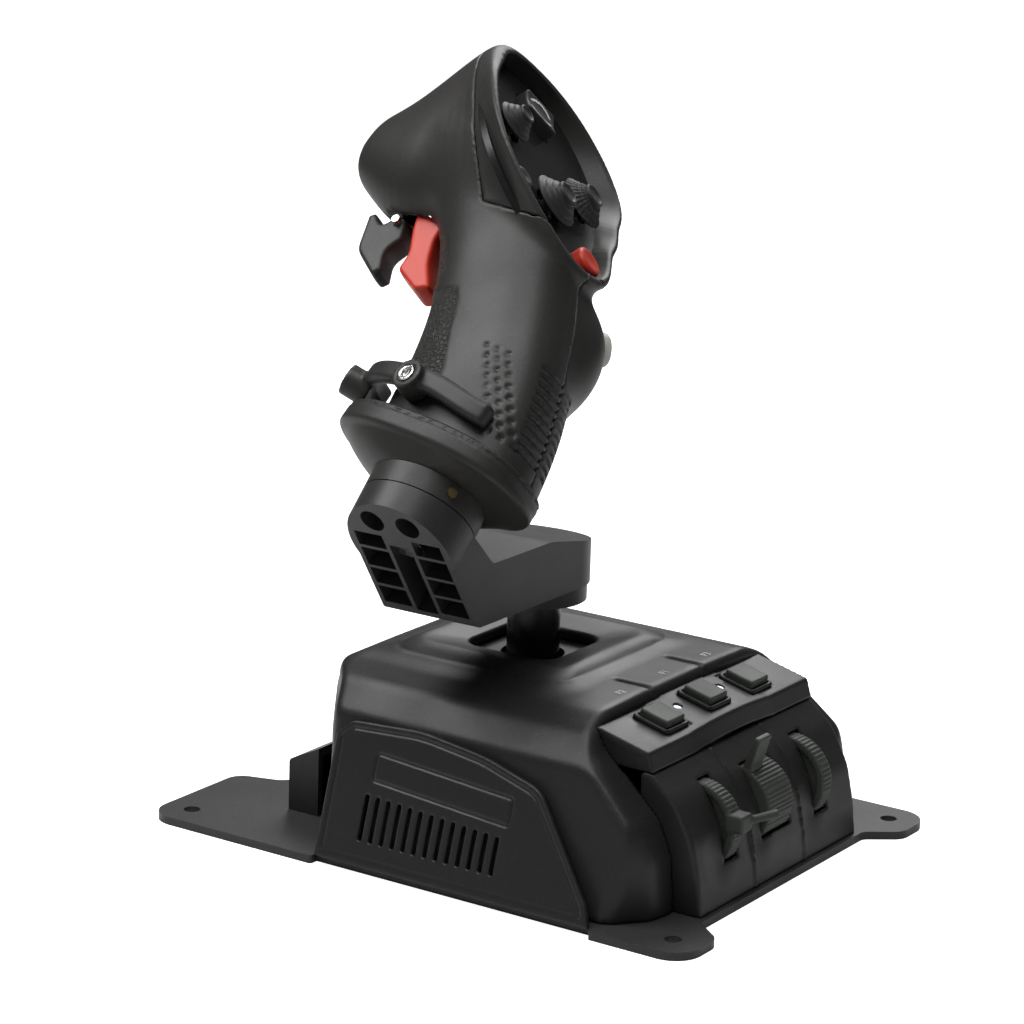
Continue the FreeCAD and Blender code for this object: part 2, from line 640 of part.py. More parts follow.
def makeGimbal():
    """Frame, yoke and hub, with ball bearings at both axes."""
    z = size.pivot_height
    top = size.dust_top - 2 * size.dust_thick - 0.6
    base = size.plate_thick
    outside = block("frameOutside", "frame_half * 2", "frame_half * 2", f"{top - base}", (0, 0, base))
    inside = block("frameInside", "frame_half * 2 - frame_wall * 2", "frame_half * 2 - frame_wall * 2",
                   f"{top}", (0, 0, base))
    windowY = block("frameWindowY", "36", "80", "30", (0, 0, base + 8))
    seats = rod("frameSeats", "bearing_radius", "frame_half * 2", (-size.frame_half, 0, z), (1, 0, 0))
    publish(cut("frame", outside, inside, windowY, seats), "gimbal_frame")
    bearingPair("frame_bearings", size.frame_half - 1, (1, 0, 0))
    yokeOutside = block("yokeOutside", "yoke_half * 2", "yoke_half * 2", "yoke_height", (0, 0, z - size.yoke_height / 2))
    yokeInside = block("yokeInside", "(yoke_half - yoke_wall) * 2", "(yoke_half - yoke_wall) * 2", "yoke_height",
                       (0, 0, z - size.yoke_height / 2))
    yokeSeats = rod("yokeSeats", "bearing_radius", "yoke_half * 2", (0, -size.yoke_half, z), (0, 1, 0))
    ring = cut("yokeRing", yokeOutside, yokeInside, yokeSeats)
    reach = size.frame_half
    inner = size.yoke_half - 2
    pins = [rod(f"yokePin{i}", "trunnion_radius - running_gap", f"{reach - inner}", (side * inner, 0, z), (side, 0, 0))
            for i, side in enumerate((-1, 1))]
    publish(fuse("yoke", ring, *pins), "gimbal_yoke")
    bearingPair("yoke_bearings", size.yoke_half - 1, (0, 1, 0))
    hubBlock = block("hubBlock", "hub_half * 2", "hub_half * 2 + 4", "yoke_height - 1", (0, 0, z - 7.5))
    hubReach = size.yoke_half - size.hub_half
    hubPins = [rod(f"hubPin{i}", "trunnion_radius - running_gap", f"{hubReach}", (0, side * size.hub_half, z),
                   (0, side, 0)) for i, side in enumerate((-1, 1))]
    hubBore = rod("hubBore", "shaft_radius", "20", (0, 0, z))
    publish(cut("hub", fuse("hubForm", hubBlock, *hubPins), hubBore), "stick_hub")
    shaft = tube("shaft", "shaft_radius", "shaft_bore", f"{size.shaft_top - z}", (0, 0, z))
    publish(shaft, "stick_shaft")


def bearingPair(label, outerFace, axis):
    """Two ball bearings whose outer faces lie outerFace from the pivot along axis."""
    pair = []
    direction = V(*axis)
    for index, side in enumerate((-1, 1)):
        base = direction * (side * (outerFace - size.bearing_width)) + V(0, 0, size.pivot_height)
        pair.append(tube(f"{label}{index}", "bearing_radius", "trunnion_radius", "bearing_width", tuple(base),
                         tuple(direction * side)))
    publish(group(label + "Pair", pair), label)


def makeSprings():
    """Centring springs and the follower plate under the hub."""
    wire = 0.9
    coil = 5.0
    pitch = 2.6
    height = 15.6
    springs = []
    for index, (x, y) in enumerate(((-14, -14), (14, -14), (14, 14), (-14, 14))):
        helix = Part.makeHelix(pitch, height, coil)
        section = Part.Wire(Part.Circle(V(coil, 0, 0), V(0, 1, 0), wire).toShape())
        spring = Part.Wire(helix).makePipeShell([section], True, True)
        spring.translate(V(x, y, size.plate_thick + wire + 0.1))
        springs.append(spring)
    publish(feature("springs", Part.makeCompound(springs)), "centring_springs")
    top = size.plate_thick + height + 2 * wire + 0.1
    plate = block("followerPlate", "42", "42", "2.4", (0, 0, top))
    cone = doc.addObject("Part::Cone", "followerDish")
    cone.Radius1 = 5
    cone.Radius2 = 8
    cone.Height = 2.4
    cone.Placement = turned((0, 0, top), (0, 0, 1))
    publish(cut("follower", plate, cone), "spring_follower")


# ---------------------------------------------------------------- adapter

def makeAdapter():
    """Arm that carries the grip's seat to the left and leans it to the right."""
    bottom = size.arm_bottom
    top = bottom + size.arm_height
    half = size.arm_half_width
    seatX = size.seat_x
    seatZ = size.seat_z
    faceFoot = V(-64.5, 0, bottom)
    faceHead = V(-95, 0, 136)
    neck = size.neck_radius
    axisFoot = V(seatX, 0, seatZ) + gripFrame.Rotation.multVec(V(0, 0, -13.9))
    seatLow = V(seatX, 0, seatZ) + gripFrame.Rotation.multVec(V(neck, 0, 0))
    profile = [(half, bottom, 0), (faceFoot.x, bottom, 3), (axisFoot.x, axisFoot.z, 0), (seatX, seatZ, 0),
               (seatLow.x, seatLow.z, 0), (seatLow.x + 2.5, top, 5), (-20, top, 30), (0, top - 3.8, 20),
               (half, top - 7.3, 0)]
    bar = prismY(profile, -half, half)
    hub = Part.makeCylinder(half, 40, V(0, 0, bottom - 5))
    bar = bar.common(hub.fuse(box((-120, 0), (-half, half), (0, 200))))
    column = Part.makeCylinder(neck, 45, V(0, 0, -45))
    column.Placement = gripFrame
    behind = prismY([(faceFoot.x, faceFoot.z, 0), (faceHead.x, faceHead.z, 0), (faceHead.x - 8, faceHead.z + 12, 0),
                     (40, faceHead.z + 12, 0), (40, bottom, 0)], -40, 40)
    arm = bar.fuse(column.common(behind)).removeSplitter()
    lean = (faceHead - faceFoot)
    length = lean.Length
    lean.normalize()
    across = V(0, 1, 0)
    ribFrame = FreeCAD.Placement(faceFoot, FreeCAD.Rotation(across, lean, across.cross(lean), "ZXY"))
    inward = -1 if ribFrame.Rotation.multVec(Z_AXIS).x < 0 else 1
    for pocket in ribPockets(length):
        pocket = pocket.copy()
        pocket.translate(V(0, 0, -14 if inward < 0 else 0))
        pocket.Placement = ribFrame.multiply(pocket.Placement)
        arm = arm.cut(pocket)
    arm = arm.cut(Part.makeCylinder(size.shaft_radius, size.shaft_top - bottom + 5, V(0, 0, bottom - 5)))
    post = Part.makeCylinder(size.post_radius, 60, V(0, 0, -12))
    post.Placement = gripFrame
    arm = arm.cut(post)
    publish(feature("arm", arm), "adapter_arm")
    ring = tube("clampRing", "clamp_radius", "shaft_radius", "clamp_thick", (0, 0, bottom - size.clamp_thick))
    publish(ring, "adapter_clamp_ring")
    shank = rod("postShank", "post_radius", f"{12 + size.seat_gap}", (0, 0, -12))
    pivot = rod("postPivot", "post_radius - running_gap", "collar_height + 8", (0, 0, size.seat_gap))
    publish(fuse("post", shank, pivot), "twist_post", gripFrame)


def ribPockets(length):
    """Pockets 14 deep in the open end of the arm: holes above, a channel and cells below."""
    deep = 14.0
    pockets = []
    for side in (-1, 1):
        pockets.append(Part.makeCylinder(4.6, deep, V(side * 7.2, length - 9, 0)))
    pockets.append(box((-4.4, 4.4), (3, length - 20), (0, deep)))
    rows = ((4, 12), (13.4, 21), (22.4, 31), (32.4, 39))
    for side in (-1, 1):
        for low, high in rows:
            x0, x1 = sorted((side * 6.0, side * 17.6))
            pockets.append(box((x0, x1), (low, high), (0, deep)))
    return pockets


# ---------------------------------------------------------------- grip

# Handle stations up the grip: height, rear edge, front edge, half width as a
# share of grip_half_width.
HANDLE_STATIONS = [
    (4, -38.0, 27.0, 1.00),
    (22, -36.0, 27.0, 1.00),
    (40, -33.5, 27.5, 1.00),
    (56, -31.0, 28.0, 1.00),
    (72, -25.5, 31.0, 1.00),
    (88, -19.5, 35.0, 0.98),
    (104, -15.0, 42.0, 1.05),
    (120, -9.0, 49.0, 1.20),
    (136, -2.0, 52.0, 1.30),
]

# Head stations from nose to face: Y and Z of the middle, half width, half
# height, and the lean of its upright, degrees from the grip's axis.
HEAD_STATIONS = [
    (92.0, 141.5, 10.5, 11.0, -13.0),
    (84.0, 140.5, 15.5, 17.0, -8.0),
    (66.0, 142.0, 21.5, 30.0, 6.0),
    (44.0, 151.0, 28.5, 37.0, 22.0),
]


def ovalWire(a, b, power, count=16):
    """A closed superellipse through count points, in XY."""
    points = []
    for i in range(count):
        angle = 2 * math.pi * (i + 0.5) / count
        c, s = math.cos(angle), math.sin(angle)
        points.append(V(math.copysign(abs(c) ** (2 / power), c) * a, math.copysign(abs(s) ** (2 / power), s) * b, 0))
    curve = Part.BSplineCurve()
    curve.interpolate(Points=points, PeriodicFlag=True)
    return Part.Wire(curve.toShape())


def handleForm(inset):
    """The handle's lofted form, drawn in by inset."""
    wires = []
    for z, rear, front, share in HANDLE_STATIONS:
        wire = ovalWire(size.grip_half_width * share - inset, (front - rear) / 2 - inset, 2.5)
        wire.translate(V(0, (front + rear) / 2, z))
        wires.append(wire)
    return Part.makeLoft(wires, True, False)


def faceOutline(inset):
    """Outline of the head's rear face in its own frame, drawn in by inset."""
    corners = [(43.5, 8), (36, 28), (24, 39), (11, 44), (-6, 43.5), (-22, 39), (-32, 20), (-38, -4),
               (-37, -24), (-27, -44), (-10, -58), (7, -64), (21, -58), (29, -34), (38, -10)]
    middle = V(3, -6, 0)
    points = []
    for x, y in corners:
        outward = V(x, y, 0) - middle
        points.append(middle + outward * ((outward.Length - inset) / outward.Length))
    return points


def faceWire(inset, depth):
    """The face outline as a smooth closed wire at a depth below the rim, in the grip's frame."""
    curve = Part.BSplineCurve()
    curve.interpolate(Points=faceOutline(inset), PeriodicFlag=True)
    wire = Part.Wire(curve.toShape())
    wire.translate(V(0, 0, -depth))
    wire.transformShape(faceInGrip.toMatrix())
    return wire


def headForm(inset, depth):
    """The head's lofted form from nose to face, drawn in by inset."""
    wires = []
    for y, z, half, high, lean in HEAD_STATIONS:
        wire = ovalWire(half - inset, high - inset, 2.3)
        turn = FreeCAD.Rotation(V(1, 0, 0), 90 - lean)
        shift = inset if y == HEAD_STATIONS[0][0] else 0
        wire.transformShape(FreeCAD.Placement(V(0, y - shift, z), turn).toMatrix())
        wires.append(wire)
    outline = faceWire(inset, depth)
    wires.append(outline)
    return Part.makeLoft(wires, True, True)


def thumbRest(inset):
    """Swelling on the right of the handle for the thumb."""
    form = Part.makeSphere(1)
    matrix = FreeCAD.Matrix()
    matrix.scale(14 - inset, 15 - inset, 22 - inset)
    form = form.transformGeometry(matrix)
    form.translate(V(16, -12, 76))
    return form


# Collar behind a round button: how far it stands out, and how deep its top is on the nose and the thumb rest.
collarReach = 1.2
collarDepth = 6.8


def makeHandle():
    """Left and right handle shells and the band across their shoulder."""
    head = headForm(0, 0)
    outer = handleForm(0).fuse(thumbRest(0))
    inner = handleForm(size.grip_wall).fuse(thumbRest(size.grip_wall))
    band = 108.0
    below = box((-100, 100), (-100, 100), (-60, 0))
    below.Placement = lipPlacement()
    above = box((-100, 100), (-100, 100), (2.5, 120))
    above.Placement = faceInGrip
    wall = outer.cut(inner).cut(head).cut(below).cut(above)
    hole = size.trigger_width / 2 + size.trigger_gap
    wall = wall.cut(box((-hole, hole), (20, 60), (80, 122)))
    button = size.thumb_button_radius + size.button_gap
    bore = Part.makeCylinder(button, 30)
    bore.Placement = thumbFrame().multiply(FreeCAD.Placement(V(0, 0, -20), FreeCAD.Rotation()))
    collar = Part.makeCylinder(button + collarReach, 20 - collarDepth)
    collar.Placement = bore.Placement
    wall = wall.cut(bore).cut(collar)
    wall = wall.cut(prismFace(size.head_wall - 0.1, -size.face_depth - size.face_thick - 3.4, 30))
    wall = wall.cut(box((-hole - 2.3, hole + 2.3), (40, 62), (106, 124)))
    for _, x, y, radius, travel in faceButtons():
        deepest = -size.face_depth - size.face_thick - 1.3 - travel - size.button_gap
        space = Part.makeCylinder(radius + collarReach + size.button_gap, -size.face_depth - deepest, V(x, y, deepest))
        space.Placement = faceInGrip
        wall = wall.cut(space)
    for reach, y, z in gripScrewPlaces():
        wall = wall.cut(Part.makeCylinder(size.screw_shank, 2 * reach, V(-reach, y, z), V(1, 0, 0)))
    far = 200
    split = 27
    lower = box((-far, far), (-far, far), (0, band)).fuse(box((-far, far), (split, far), (0, far)))
    left = wall.common(lower).common(box((-far, 0), (-far, far), (0, far)))
    right = wall.common(lower).common(box((0, far), (-far, far), (0, far)))
    top = wall.common(box((-far, far), (-far, split), (band, far)))
    publish(feature("leftShell", largest(left)), "grip_left_shell", gripFrame)
    publish(feature("rightShell", largest(right)), "grip_right_shell", gripFrame)
    publish(feature("shoulder", largest(top)), "shoulder_band", gripFrame)


def largest(shape):
    """The biggest solid of a shape."""
    return max(shape.Solids, key=lambda solid: solid.Volume)


def makeHead():
    """Head housing, its hood and the panel that carries the thumb controls."""
    outer = headForm(0, 0)
    inner = headForm(size.head_wall, size.face_depth + size.face_thick)
    shell = outer.cut(inner)
    rim = prismFace(size.head_wall, -size.face_depth - size.face_thick - 0.2, 30)
    shell = shell.cut(rim)
    nose = Part.makeCylinder(size.nose_button_radius + size.button_gap, 40)
    nose.Placement = noseFrame().multiply(FreeCAD.Placement(V(0, 0, -30), FreeCAD.Rotation()))
    shell = shell.cut(nose)
    wires = Part.makeCylinder(9, 40, V(0, 10, 90))
    shell = shell.cut(wires)
    hole = size.trigger_width / 2 + size.trigger_gap
    shell = shell.cut(box((-hole, hole), (36, 60.3), (96, 123)))
    for pin in triggerPinSpaces():
        shell = shell.cut(pin)
    for lug in triggerLugs():
        shell = shell.fuse(lug)
    swing = size.trigger_width / 2 - 1 + size.trigger_gap
    shell = shell.cut(box((-swing, swing), (58.8, 73), (100, 115)))
    cover = box((-60, 60), (-60, 60), (-32, 20))
    cover.translate(V(0, 66, 0))
    cover.Placement = faceInGrip.multiply(cover.Placement)
    publish(feature("head", largest(shell.cut(cover))), "head_shell", gripFrame)
    publish(feature("hood", largest(shell.common(cover))), "head_hood", gripFrame)
    panel = prismFace(size.head_wall, -size.face_depth - size.face_thick, -size.face_depth)
    for x, y, radius in faceHoles():
        panel = panel.cut(holeInFace(x, y, radius))
    for x, y, wide, high in faceWindows():
        window = box((x - wide / 2, x + wide / 2), (y - high / 2, y + high / 2), (-30, 30))
        window.Placement = faceInGrip
        panel = panel.cut(window)
    for lug in hatLugs():
        panel = panel.fuse(lug)
    publish(feature("facePanel", largest(panel)), "face_panel", gripFrame)


def prismFace(inset, low, high):
    """The face outline drawn in and extruded between two heights, in the grip's frame."""
    curve = Part.BSplineCurve()
    curve.interpolate(Points=faceOutline(inset), PeriodicFlag=True)
    face = Part.Face(Part.Wire(curve.toShape()))
    face.translate(V(0, 0, low))
    solid = face.extrude(V(0, 0, high - low))
    solid.Placement = faceInGrip.multiply(solid.Placement)
    return solid


def holeInFace(x, y, radius):
    """A cylinder through the face panel, in the grip's frame."""
    hole = Part.makeCylinder(radius, 60, V(x, y, -30))
    hole.Placement = faceInGrip
    return hole


def stickControls():
    """Name, x, y and cap radius of the controls that tilt two ways."""
    return [("upper_hat", -21.0, -3.0, 8.0), ("lower_hat", 0.5, -27.0, size.cap_radius),
            ("mini_stick", 19.5, -9.0, size.cap_radius)]


def faceButtons():
    """Name, x, y, radius and travel of the buttons on the face."""
    return [("recess_button", -19.0, -33.0, 4.6, 1.0), ("red_button", 19.0, -43.0, 6.0, 1.2)]


def rockerPlace():
    """Middle, width and height of the rocker switch."""
    return (-3.0, 21.0, 17.0, 11.0)


def faceHoles():
    """Round holes in the face panel."""
    holes = [(x, y, size.bush_radius + 1.6) for name, x, y, cap in stickControls()]
    holes += [(x, y, radius + size.button_gap) for name, x, y, radius, travel in faceButtons()]
    return holes


def faceWindows():
    """Square holes in the face panel."""
    x, y, wide, high = rockerPlace()
    return [(x, y, wide + 1.0, high + 1.0)]


def hatLugs():
    """Ears under the face panel that hold the pins of the hats' rings, in the grip's frame."""
    pivot = -size.face_depth - size.hat_lift
    under = -size.face_depth - size.face_thick
    start = size.bush_radius + 1.7
    lugs = []
    for name, x, y, cap in stickControls():
        bore = Part.makeCylinder(size.hat_pin + size.running_gap, 40, V(x - 20, y, pivot), V(1, 0, 0))
        for side in (-1, 1):
            inner, outer = sorted((x + side * start, x + side * (start + 1.5)))
            lug = box((inner, outer), (y - 1.8, y + 1.8), (pivot - 1.8, under + 0.2)).cut(bore)
            lug.Placement = faceInGrip
            lugs.append(lug)
    return lugs


def inFace(x, y, z):
    """Placement of a point of the face frame, in the world."""
    return faceFrame.multiply(FreeCAD.Placement(V(x, y, z), FreeCAD.Rotation()))


def makeStickControls():
    """Each hat is a cap on a stem that tilts in a ring, and the ring tilts in the panel."""
    panel = -size.face_depth
    pivot = panel - size.hat_lift
    for name, x, y, capRadius in stickControls():
        place = inFace(x, y, pivot)
        outside = rod(name + "RingOutside", "bush_radius", "2.4", (0, 0, -1.2))
        inside = rod(name + "RingInside", "stem_radius + 0.5", "2.4", (0, 0, -1.2))
        reach = size.bush_radius + 3.0
        pins = [rod(f"{name}RingPin{i}", "hat_pin", f"{reach - size.bush_radius + 0.5}",
                    (side * (size.bush_radius - 0.5), 0, 0), (side, 0, 0)) for i, side in enumerate((-1, 1))]
        crossHole = rod(name + "RingHole", "hat_pin", "bush_radius * 2", (0, -size.bush_radius, 0), (0, 1, 0))
        ring = cut(name + "Ring", fuse(name + "RingForm", outside, *pins), inside, crossHole)
        ring.Placement = place
        publish(ring, name + "_ring")
        lift = size.hat_lift + size.cap_clear
        stem = rod(name + "Stem", "stem_radius", f"{lift + 2}", (0, 0, -2))
        crossPin = rod(name + "CrossPin", "hat_pin - running_gap", "bush_radius * 2 - 0.6",
                       (0, -size.bush_radius + 0.3, 0), (0, 1, 0))
        skirt = doc.addObject("Part::Cone", name + "Skirt")
        skirt.Radius1 = capRadius
        skirt.Radius2 = capRadius * 0.45
        skirt.Height = 5.2
        skirt.Placement = turned((0, 0, lift), (0, 0, 1))
        crown = rod(name + "Crown", f"{capRadius * 0.45}", "1.6", (0, 0, lift + 5.2))
        publish(fuse(name + "Cap", stem, skirt, crown, crossPin), name + "_cap", place)


def makeFaceButtons():
    """Round buttons of the face and the rocker switch."""
    panel = -size.face_depth
    for name, x, y, radius, travel in faceButtons():
        body = rod(name + "Body", f"{radius}", "7", (0, 0, -3))
        flange = rod(name + "Flange", f"{radius + collarReach}", "1.2", (0, 0, -size.face_thick - 1.3))
        publish(fuse(name + "Form", body, flange), name, inFace(x, y, panel))
    x, y, wide, high = rockerPlace()
    rocker = block("rockerBody", f"{wide}", f"{high}", "7.5", (0, 0, -2.5))
    pin = rod("rockerPin", "1.2", f"{wide + 4}", (-(wide + 4) / 2, 0, -3.8), (1, 0, 0))
    root = block("rockerRoot", "6", "4", "4", (0, 0, -5))
    publish(fuse("rockerForm", rocker, root, pin), "rocker_switch", inFace(x, y, panel))


def noseFrame():
    """Frame of the button on the nose, in the grip's frame."""
    axis = V(0, 0.975, 0.222)
    return FreeCAD.Placement(V(0, 92.0, 141.5), FreeCAD.Rotation(Z_AXIS, axis))


def thumbFrame():
    """Frame of the button on the thumb rest, in the grip's frame."""
    axis = V(0.6, -0.65, 0.45)
    axis.normalize()
    return FreeCAD.Placement(V(25.5, -17.5, 90.5), FreeCAD.Rotation(Z_AXIS, axis))


def makeOtherButtons():
    """Nose button and thumb button, each with a collar that keeps it in its hole."""
    for name, radius, frame in (("nose_button", "nose_button_radius", noseFrame()),
                                ("thumb_button", "thumb_button_radius", thumbFrame())):
        body = rod(name + "Body", radius, "11", (0, 0, -7))
        flange = rod(name + "Flange", f"{radius} + {collarReach}", "1.4", (0, 0, -collarDepth - 1.4))
        publish(fuse(name + "Form", body, flange), name, gripFrame.multiply(frame))


def lipPlacement():
    """Frame of the slanted lip at the foot of the handle, in the grip's frame."""
    return FreeCAD.Placement(V(0, size.lip_centre, size.handle_foot), FreeCAD.Rotation(V(1, 0, 0), size.lip_slope))


def makeCollarAndFlange():
    """Collar on the twist post, the bowl and lip above it and the grub screws."""
    gap = size.seat_gap
    collarTop = size.collar_height + gap
    collar = tube("collar", "neck_radius", "post_radius", "collar_height", (0, 0, gap))
    publish(collar, "grip_collar", gripFrame)
    screws = []
    for index, angle in enumerate((235, 55)):
        direction = V(math.cos(math.radians(angle)), math.sin(math.radians(angle)), 0)
        base = direction * size.neck_radius + V(0, 0, gap + size.collar_height / 2)
        screws.append(rod(f"grub{index}", "1.8", "1.0", tuple(base), tuple(direction)))
    publish(group("grubs", screws), "brass_set_screws", gripFrame)
    lip = lipPlacement()
    ring = ovalWire(size.neck_radius - 0.3, size.neck_radius - 0.3, 2)
    ring.translate(V(0, 0, collarTop))
    under = lipWire(1.0)
    under.translate(V(0, 0, -size.flange_thick))
    under.transformShape(lip.toMatrix())
    bowl = Part.makeLoft([ring, under], True, True)
    edge = Part.Face(lipWire(0)).extrude(V(0, 0, -size.flange_thick))
    edge.Placement = lip
    bore = Part.makeCylinder(size.post_radius, 60, V(0, 0, -10))
    publish(feature("flange", largest(bowl.fuse(edge).cut(bore))), "grip_flange", gripFrame)


def lipWire(inset):
    """Outline of the lip in its own frame, drawn in by inset."""
    return ovalWire(size.lip_half_width - inset, size.lip_half_length - inset, 2.4)


def makeHandRest():
    """Curved rest that slides up the left front of the lip, with its two screws."""
    lip = lipPlacement()
    low = size.rest_gap
    high = low + size.rest_height
    outer = Part.Face(lipWire(-1.5)).extrude(V(0, 0, size.rest_height))
    inner = Part.Face(lipWire(3.6)).extrude(V(0, 0, size.rest_height))
    band = outer.cut(inner)
    band.translate(V(0, 0, low))
    band = band.common(box((-60, 2), (-24, 60), (0, 40)))
    space = handleForm(-0.4)
    space.Placement = lip.inverse()
    screws = []
    for x, y, angle, drop in ((-12.1, 41.4, 118, 2.0), (-27.0, 9.3, 170, 0.5)):
        direction = V(math.cos(math.radians(angle)), math.sin(math.radians(angle)), 0)
        foot = V(x, y, (low + high) / 2 - drop) - direction * 7
        boss = Part.makeCylinder(size.boss_radius, 10, foot, direction)
        recess = Part.makeCylinder(size.screw_head + 0.2, 3, foot + direction * 8, direction)
        band = band.fuse(boss).cut(recess)
        head = Part.makeCylinder(size.screw_head, 2.2, foot + direction * 8, direction)
        socket = Part.makeCylinder(1.4, 1.6, foot + direction * 8.8, direction)
        screws.append(head.cut(socket))
    place = gripFrame.multiply(lip)
    publish(feature("handRest", largest(band.cut(space).removeSplitter())), "hand_rest", place)
    publish(feature("restScrews", Part.makeCompound(screws)), "hand_rest_screws", place)


def triggerPivots():
    """Y and Z of the trigger pin and of the flip trigger pin, in the grip's frame."""
    return (49.0, 114.0), (64.0, 110.5)


def makeTriggers():
    """Trigger blade, the flip trigger ahead of it, and their pins."""
    first, second = triggerPivots()
    half = size.trigger_width / 2
    blade = prismX([(44, 112, 2), (46, 119, 2), (54, 120, 2), (58.5, 117, 2), (56.5, 108, 8), (53, 98, 8),
                    (54, 91, 3), (43, 83.5, 3), (37, 85.5, 1.5), (43, 96, 20), (45, 105, 8)], half)
    blade = blade.cut(Part.makeCylinder(size.pin_radius + size.running_gap, 40, V(-20, *first), V(1, 0, 0)))
    publish(feature("triggerBlade", blade), "trigger", gripFrame)
    flipHalf = half - 1
    flip = prismX([(60.5, 109, 2), (62, 113.2, 1.5), (67, 113, 2), (70.5, 108.5, 4), (75.5, 113.5, 0.8),
                   (78, 112, 0.8), (75.5, 97, 8), (64, 87.5, 1.5), (61, 90, 1.5), (63.5, 98, 6), (59.5, 104, 2)], flipHalf)
    flip = flip.cut(Part.makeCylinder(size.pin_radius + size.running_gap, 40, V(-20, *second), V(1, 0, 0)))
    publish(feature("flipBlade", flip), "flip_trigger", gripFrame)
    reach = half + size.trigger_gap + 2
    flipReach = flipHalf + size.trigger_gap + 2
    pins = [rod("triggerPin", "pin_radius", f"{reach * 2}", (-reach, *first), (1, 0, 0)),
            rod("flipPin", "pin_radius", f"{flipReach * 2}", (-flipReach, *second), (1, 0, 0))]
    publish(group("triggerPins", pins), "trigger_pins", gripFrame)


def triggerLugs():
    """Cheeks inside the head and under its chin that hold the two trigger pins."""
    first, second = triggerPivots()
    half = size.trigger_width / 2 + size.trigger_gap
    flipHalf = half - 1
    lugs = []
    for side in (-1, 1):
        inner, outer = sorted((side * half, side * (half + 2)))
        lugs.append(box((inner, outer), (first[0] - 6, first[0] + 6), (first[1] - 5, first[1] + 8)))
        inner, outer = sorted((side * flipHalf, side * (flipHalf + 2)))
        lugs.append(box((inner, outer), (second[0] - 3, second[0] + 3.4), (second[1] - 3, second[1] + 6)))
    return [lug.cut(Part.makeCompound(triggerPinSpaces())) for lug in lugs]


def triggerPinSpaces():
    """Solids of the space that the two trigger pins take."""
    return [Part.makeCylinder(size.pin_radius, 60, V(-30, *pivot), V(1, 0, 0)) for pivot in triggerPivots()]


def gripScrewPlaces():
    """Half length, Y and Z of the screws that join the handle shells; each ends inside the wall."""
    half = size.grip_half_width
    return [(half - 4.6, -22, 46), (half - 4.2, 16, 52), (half - 2.1, 4, 96)]


def makeGripInside():
    """Circuit board in the handle and the screws that join its shells."""
    screws = [rod(f"gripScrew{i}", "screw_shank", f"{2 * reach}", (-reach, y, z), (1, 0, 0))
              for i, (reach, y, z) in enumerate(gripScrewPlaces())]
    publish(group("gripScrews", screws), "grip_screws", gripFrame)
    board = block("gripBoard", "1.6", "30", "48", (0, -3, 36))
    holes = [rod(f"boardHole{i}", "screw_shank", "4", (-2, y, z), (1, 0, 0))
             for i, (_, y, z) in enumerate(gripScrewPlaces())]
    publish(cut("gripBoardCut", board, *holes), "grip_board", gripFrame)


# ---------------------------------------------------------------- build

def main():
    makeBasePlate()
    makeUpperShell()
    makeSidePanels()
    makeWheelPanel()
    makeButtonStrip()
    makeKeysAndLamps()
    makeConnectorBox()
    makeDustSlides()
    makeWheels()
    makeBoardAndScrews()
    makeGimbal()
    makeSprings()
    makeAdapter()
    makeCollarAndFlange()
    makeHandle()
    makeHead()
    makeStickControls()
    makeFaceButtons()
    makeOtherButtons()
    makeHandRest()
    makeTriggers()
    makeGripInside()
    doc.recompute()
    faults = [obj.Name for obj in doc.Objects if "Invalid" in obj.State or "Error" in obj.State]
    faults += [obj.Label for obj in subParts if obj.Shape.isNull() or not obj.Shape.isValid()]
    if faults:
        raise RuntimeError("failed objects: " + ", ".join(faults))
    for obj in subParts:
        obj.Shape.exportStep(f"parts/{obj.Label}.step")
    print(len(subParts), "sub-parts written")


main()
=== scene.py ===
import json
import math
import bpy
import numpy as np
from mathutils import Matrix, Vector


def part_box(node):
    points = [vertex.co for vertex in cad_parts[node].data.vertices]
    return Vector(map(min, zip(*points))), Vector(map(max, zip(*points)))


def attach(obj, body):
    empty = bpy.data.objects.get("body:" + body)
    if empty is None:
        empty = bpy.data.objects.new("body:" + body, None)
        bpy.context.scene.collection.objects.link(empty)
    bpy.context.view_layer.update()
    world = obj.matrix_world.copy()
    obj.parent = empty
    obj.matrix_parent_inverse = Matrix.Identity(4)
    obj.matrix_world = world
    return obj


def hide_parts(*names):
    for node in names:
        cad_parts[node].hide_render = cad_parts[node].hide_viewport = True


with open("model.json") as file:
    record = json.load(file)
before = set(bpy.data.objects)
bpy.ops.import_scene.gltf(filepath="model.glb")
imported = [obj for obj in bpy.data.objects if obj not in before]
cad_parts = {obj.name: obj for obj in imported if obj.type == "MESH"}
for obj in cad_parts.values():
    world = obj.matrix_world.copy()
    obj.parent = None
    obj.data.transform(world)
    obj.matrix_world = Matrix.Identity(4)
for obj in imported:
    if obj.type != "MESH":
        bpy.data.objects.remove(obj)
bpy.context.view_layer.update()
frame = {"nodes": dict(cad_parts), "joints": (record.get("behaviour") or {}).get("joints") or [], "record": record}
nodes = frame["nodes"]
joints = {j["name"]: j for j in frame["joints"]}
print("frame loaded:", len(nodes), "nodes")

# Shapes are worked out in millimetres and scaled to metres when the mesh is made.
mm = 0.001


# Pivot in millimetres and unit axis of a joint.
def jointPlace(name):
    joint = joints[name]
    return np.array(joint.get("pos_m", (0, 0, 0))) / mm, np.array(joint["axis"])


# 3 by 4 frame: the columns are the axes, then the origin, in millimetres.
def makeFrame(origin, xAxis, yAxis, zAxis):
    return np.column_stack([xAxis, yAxis, zAxis, origin])


def unit(v):
    v = np.asarray(v, float)
    return v / np.linalg.norm(v)


def toWorld(place, points):
    return np.asarray(points) @ place[:, :3].T + place[:, 3]


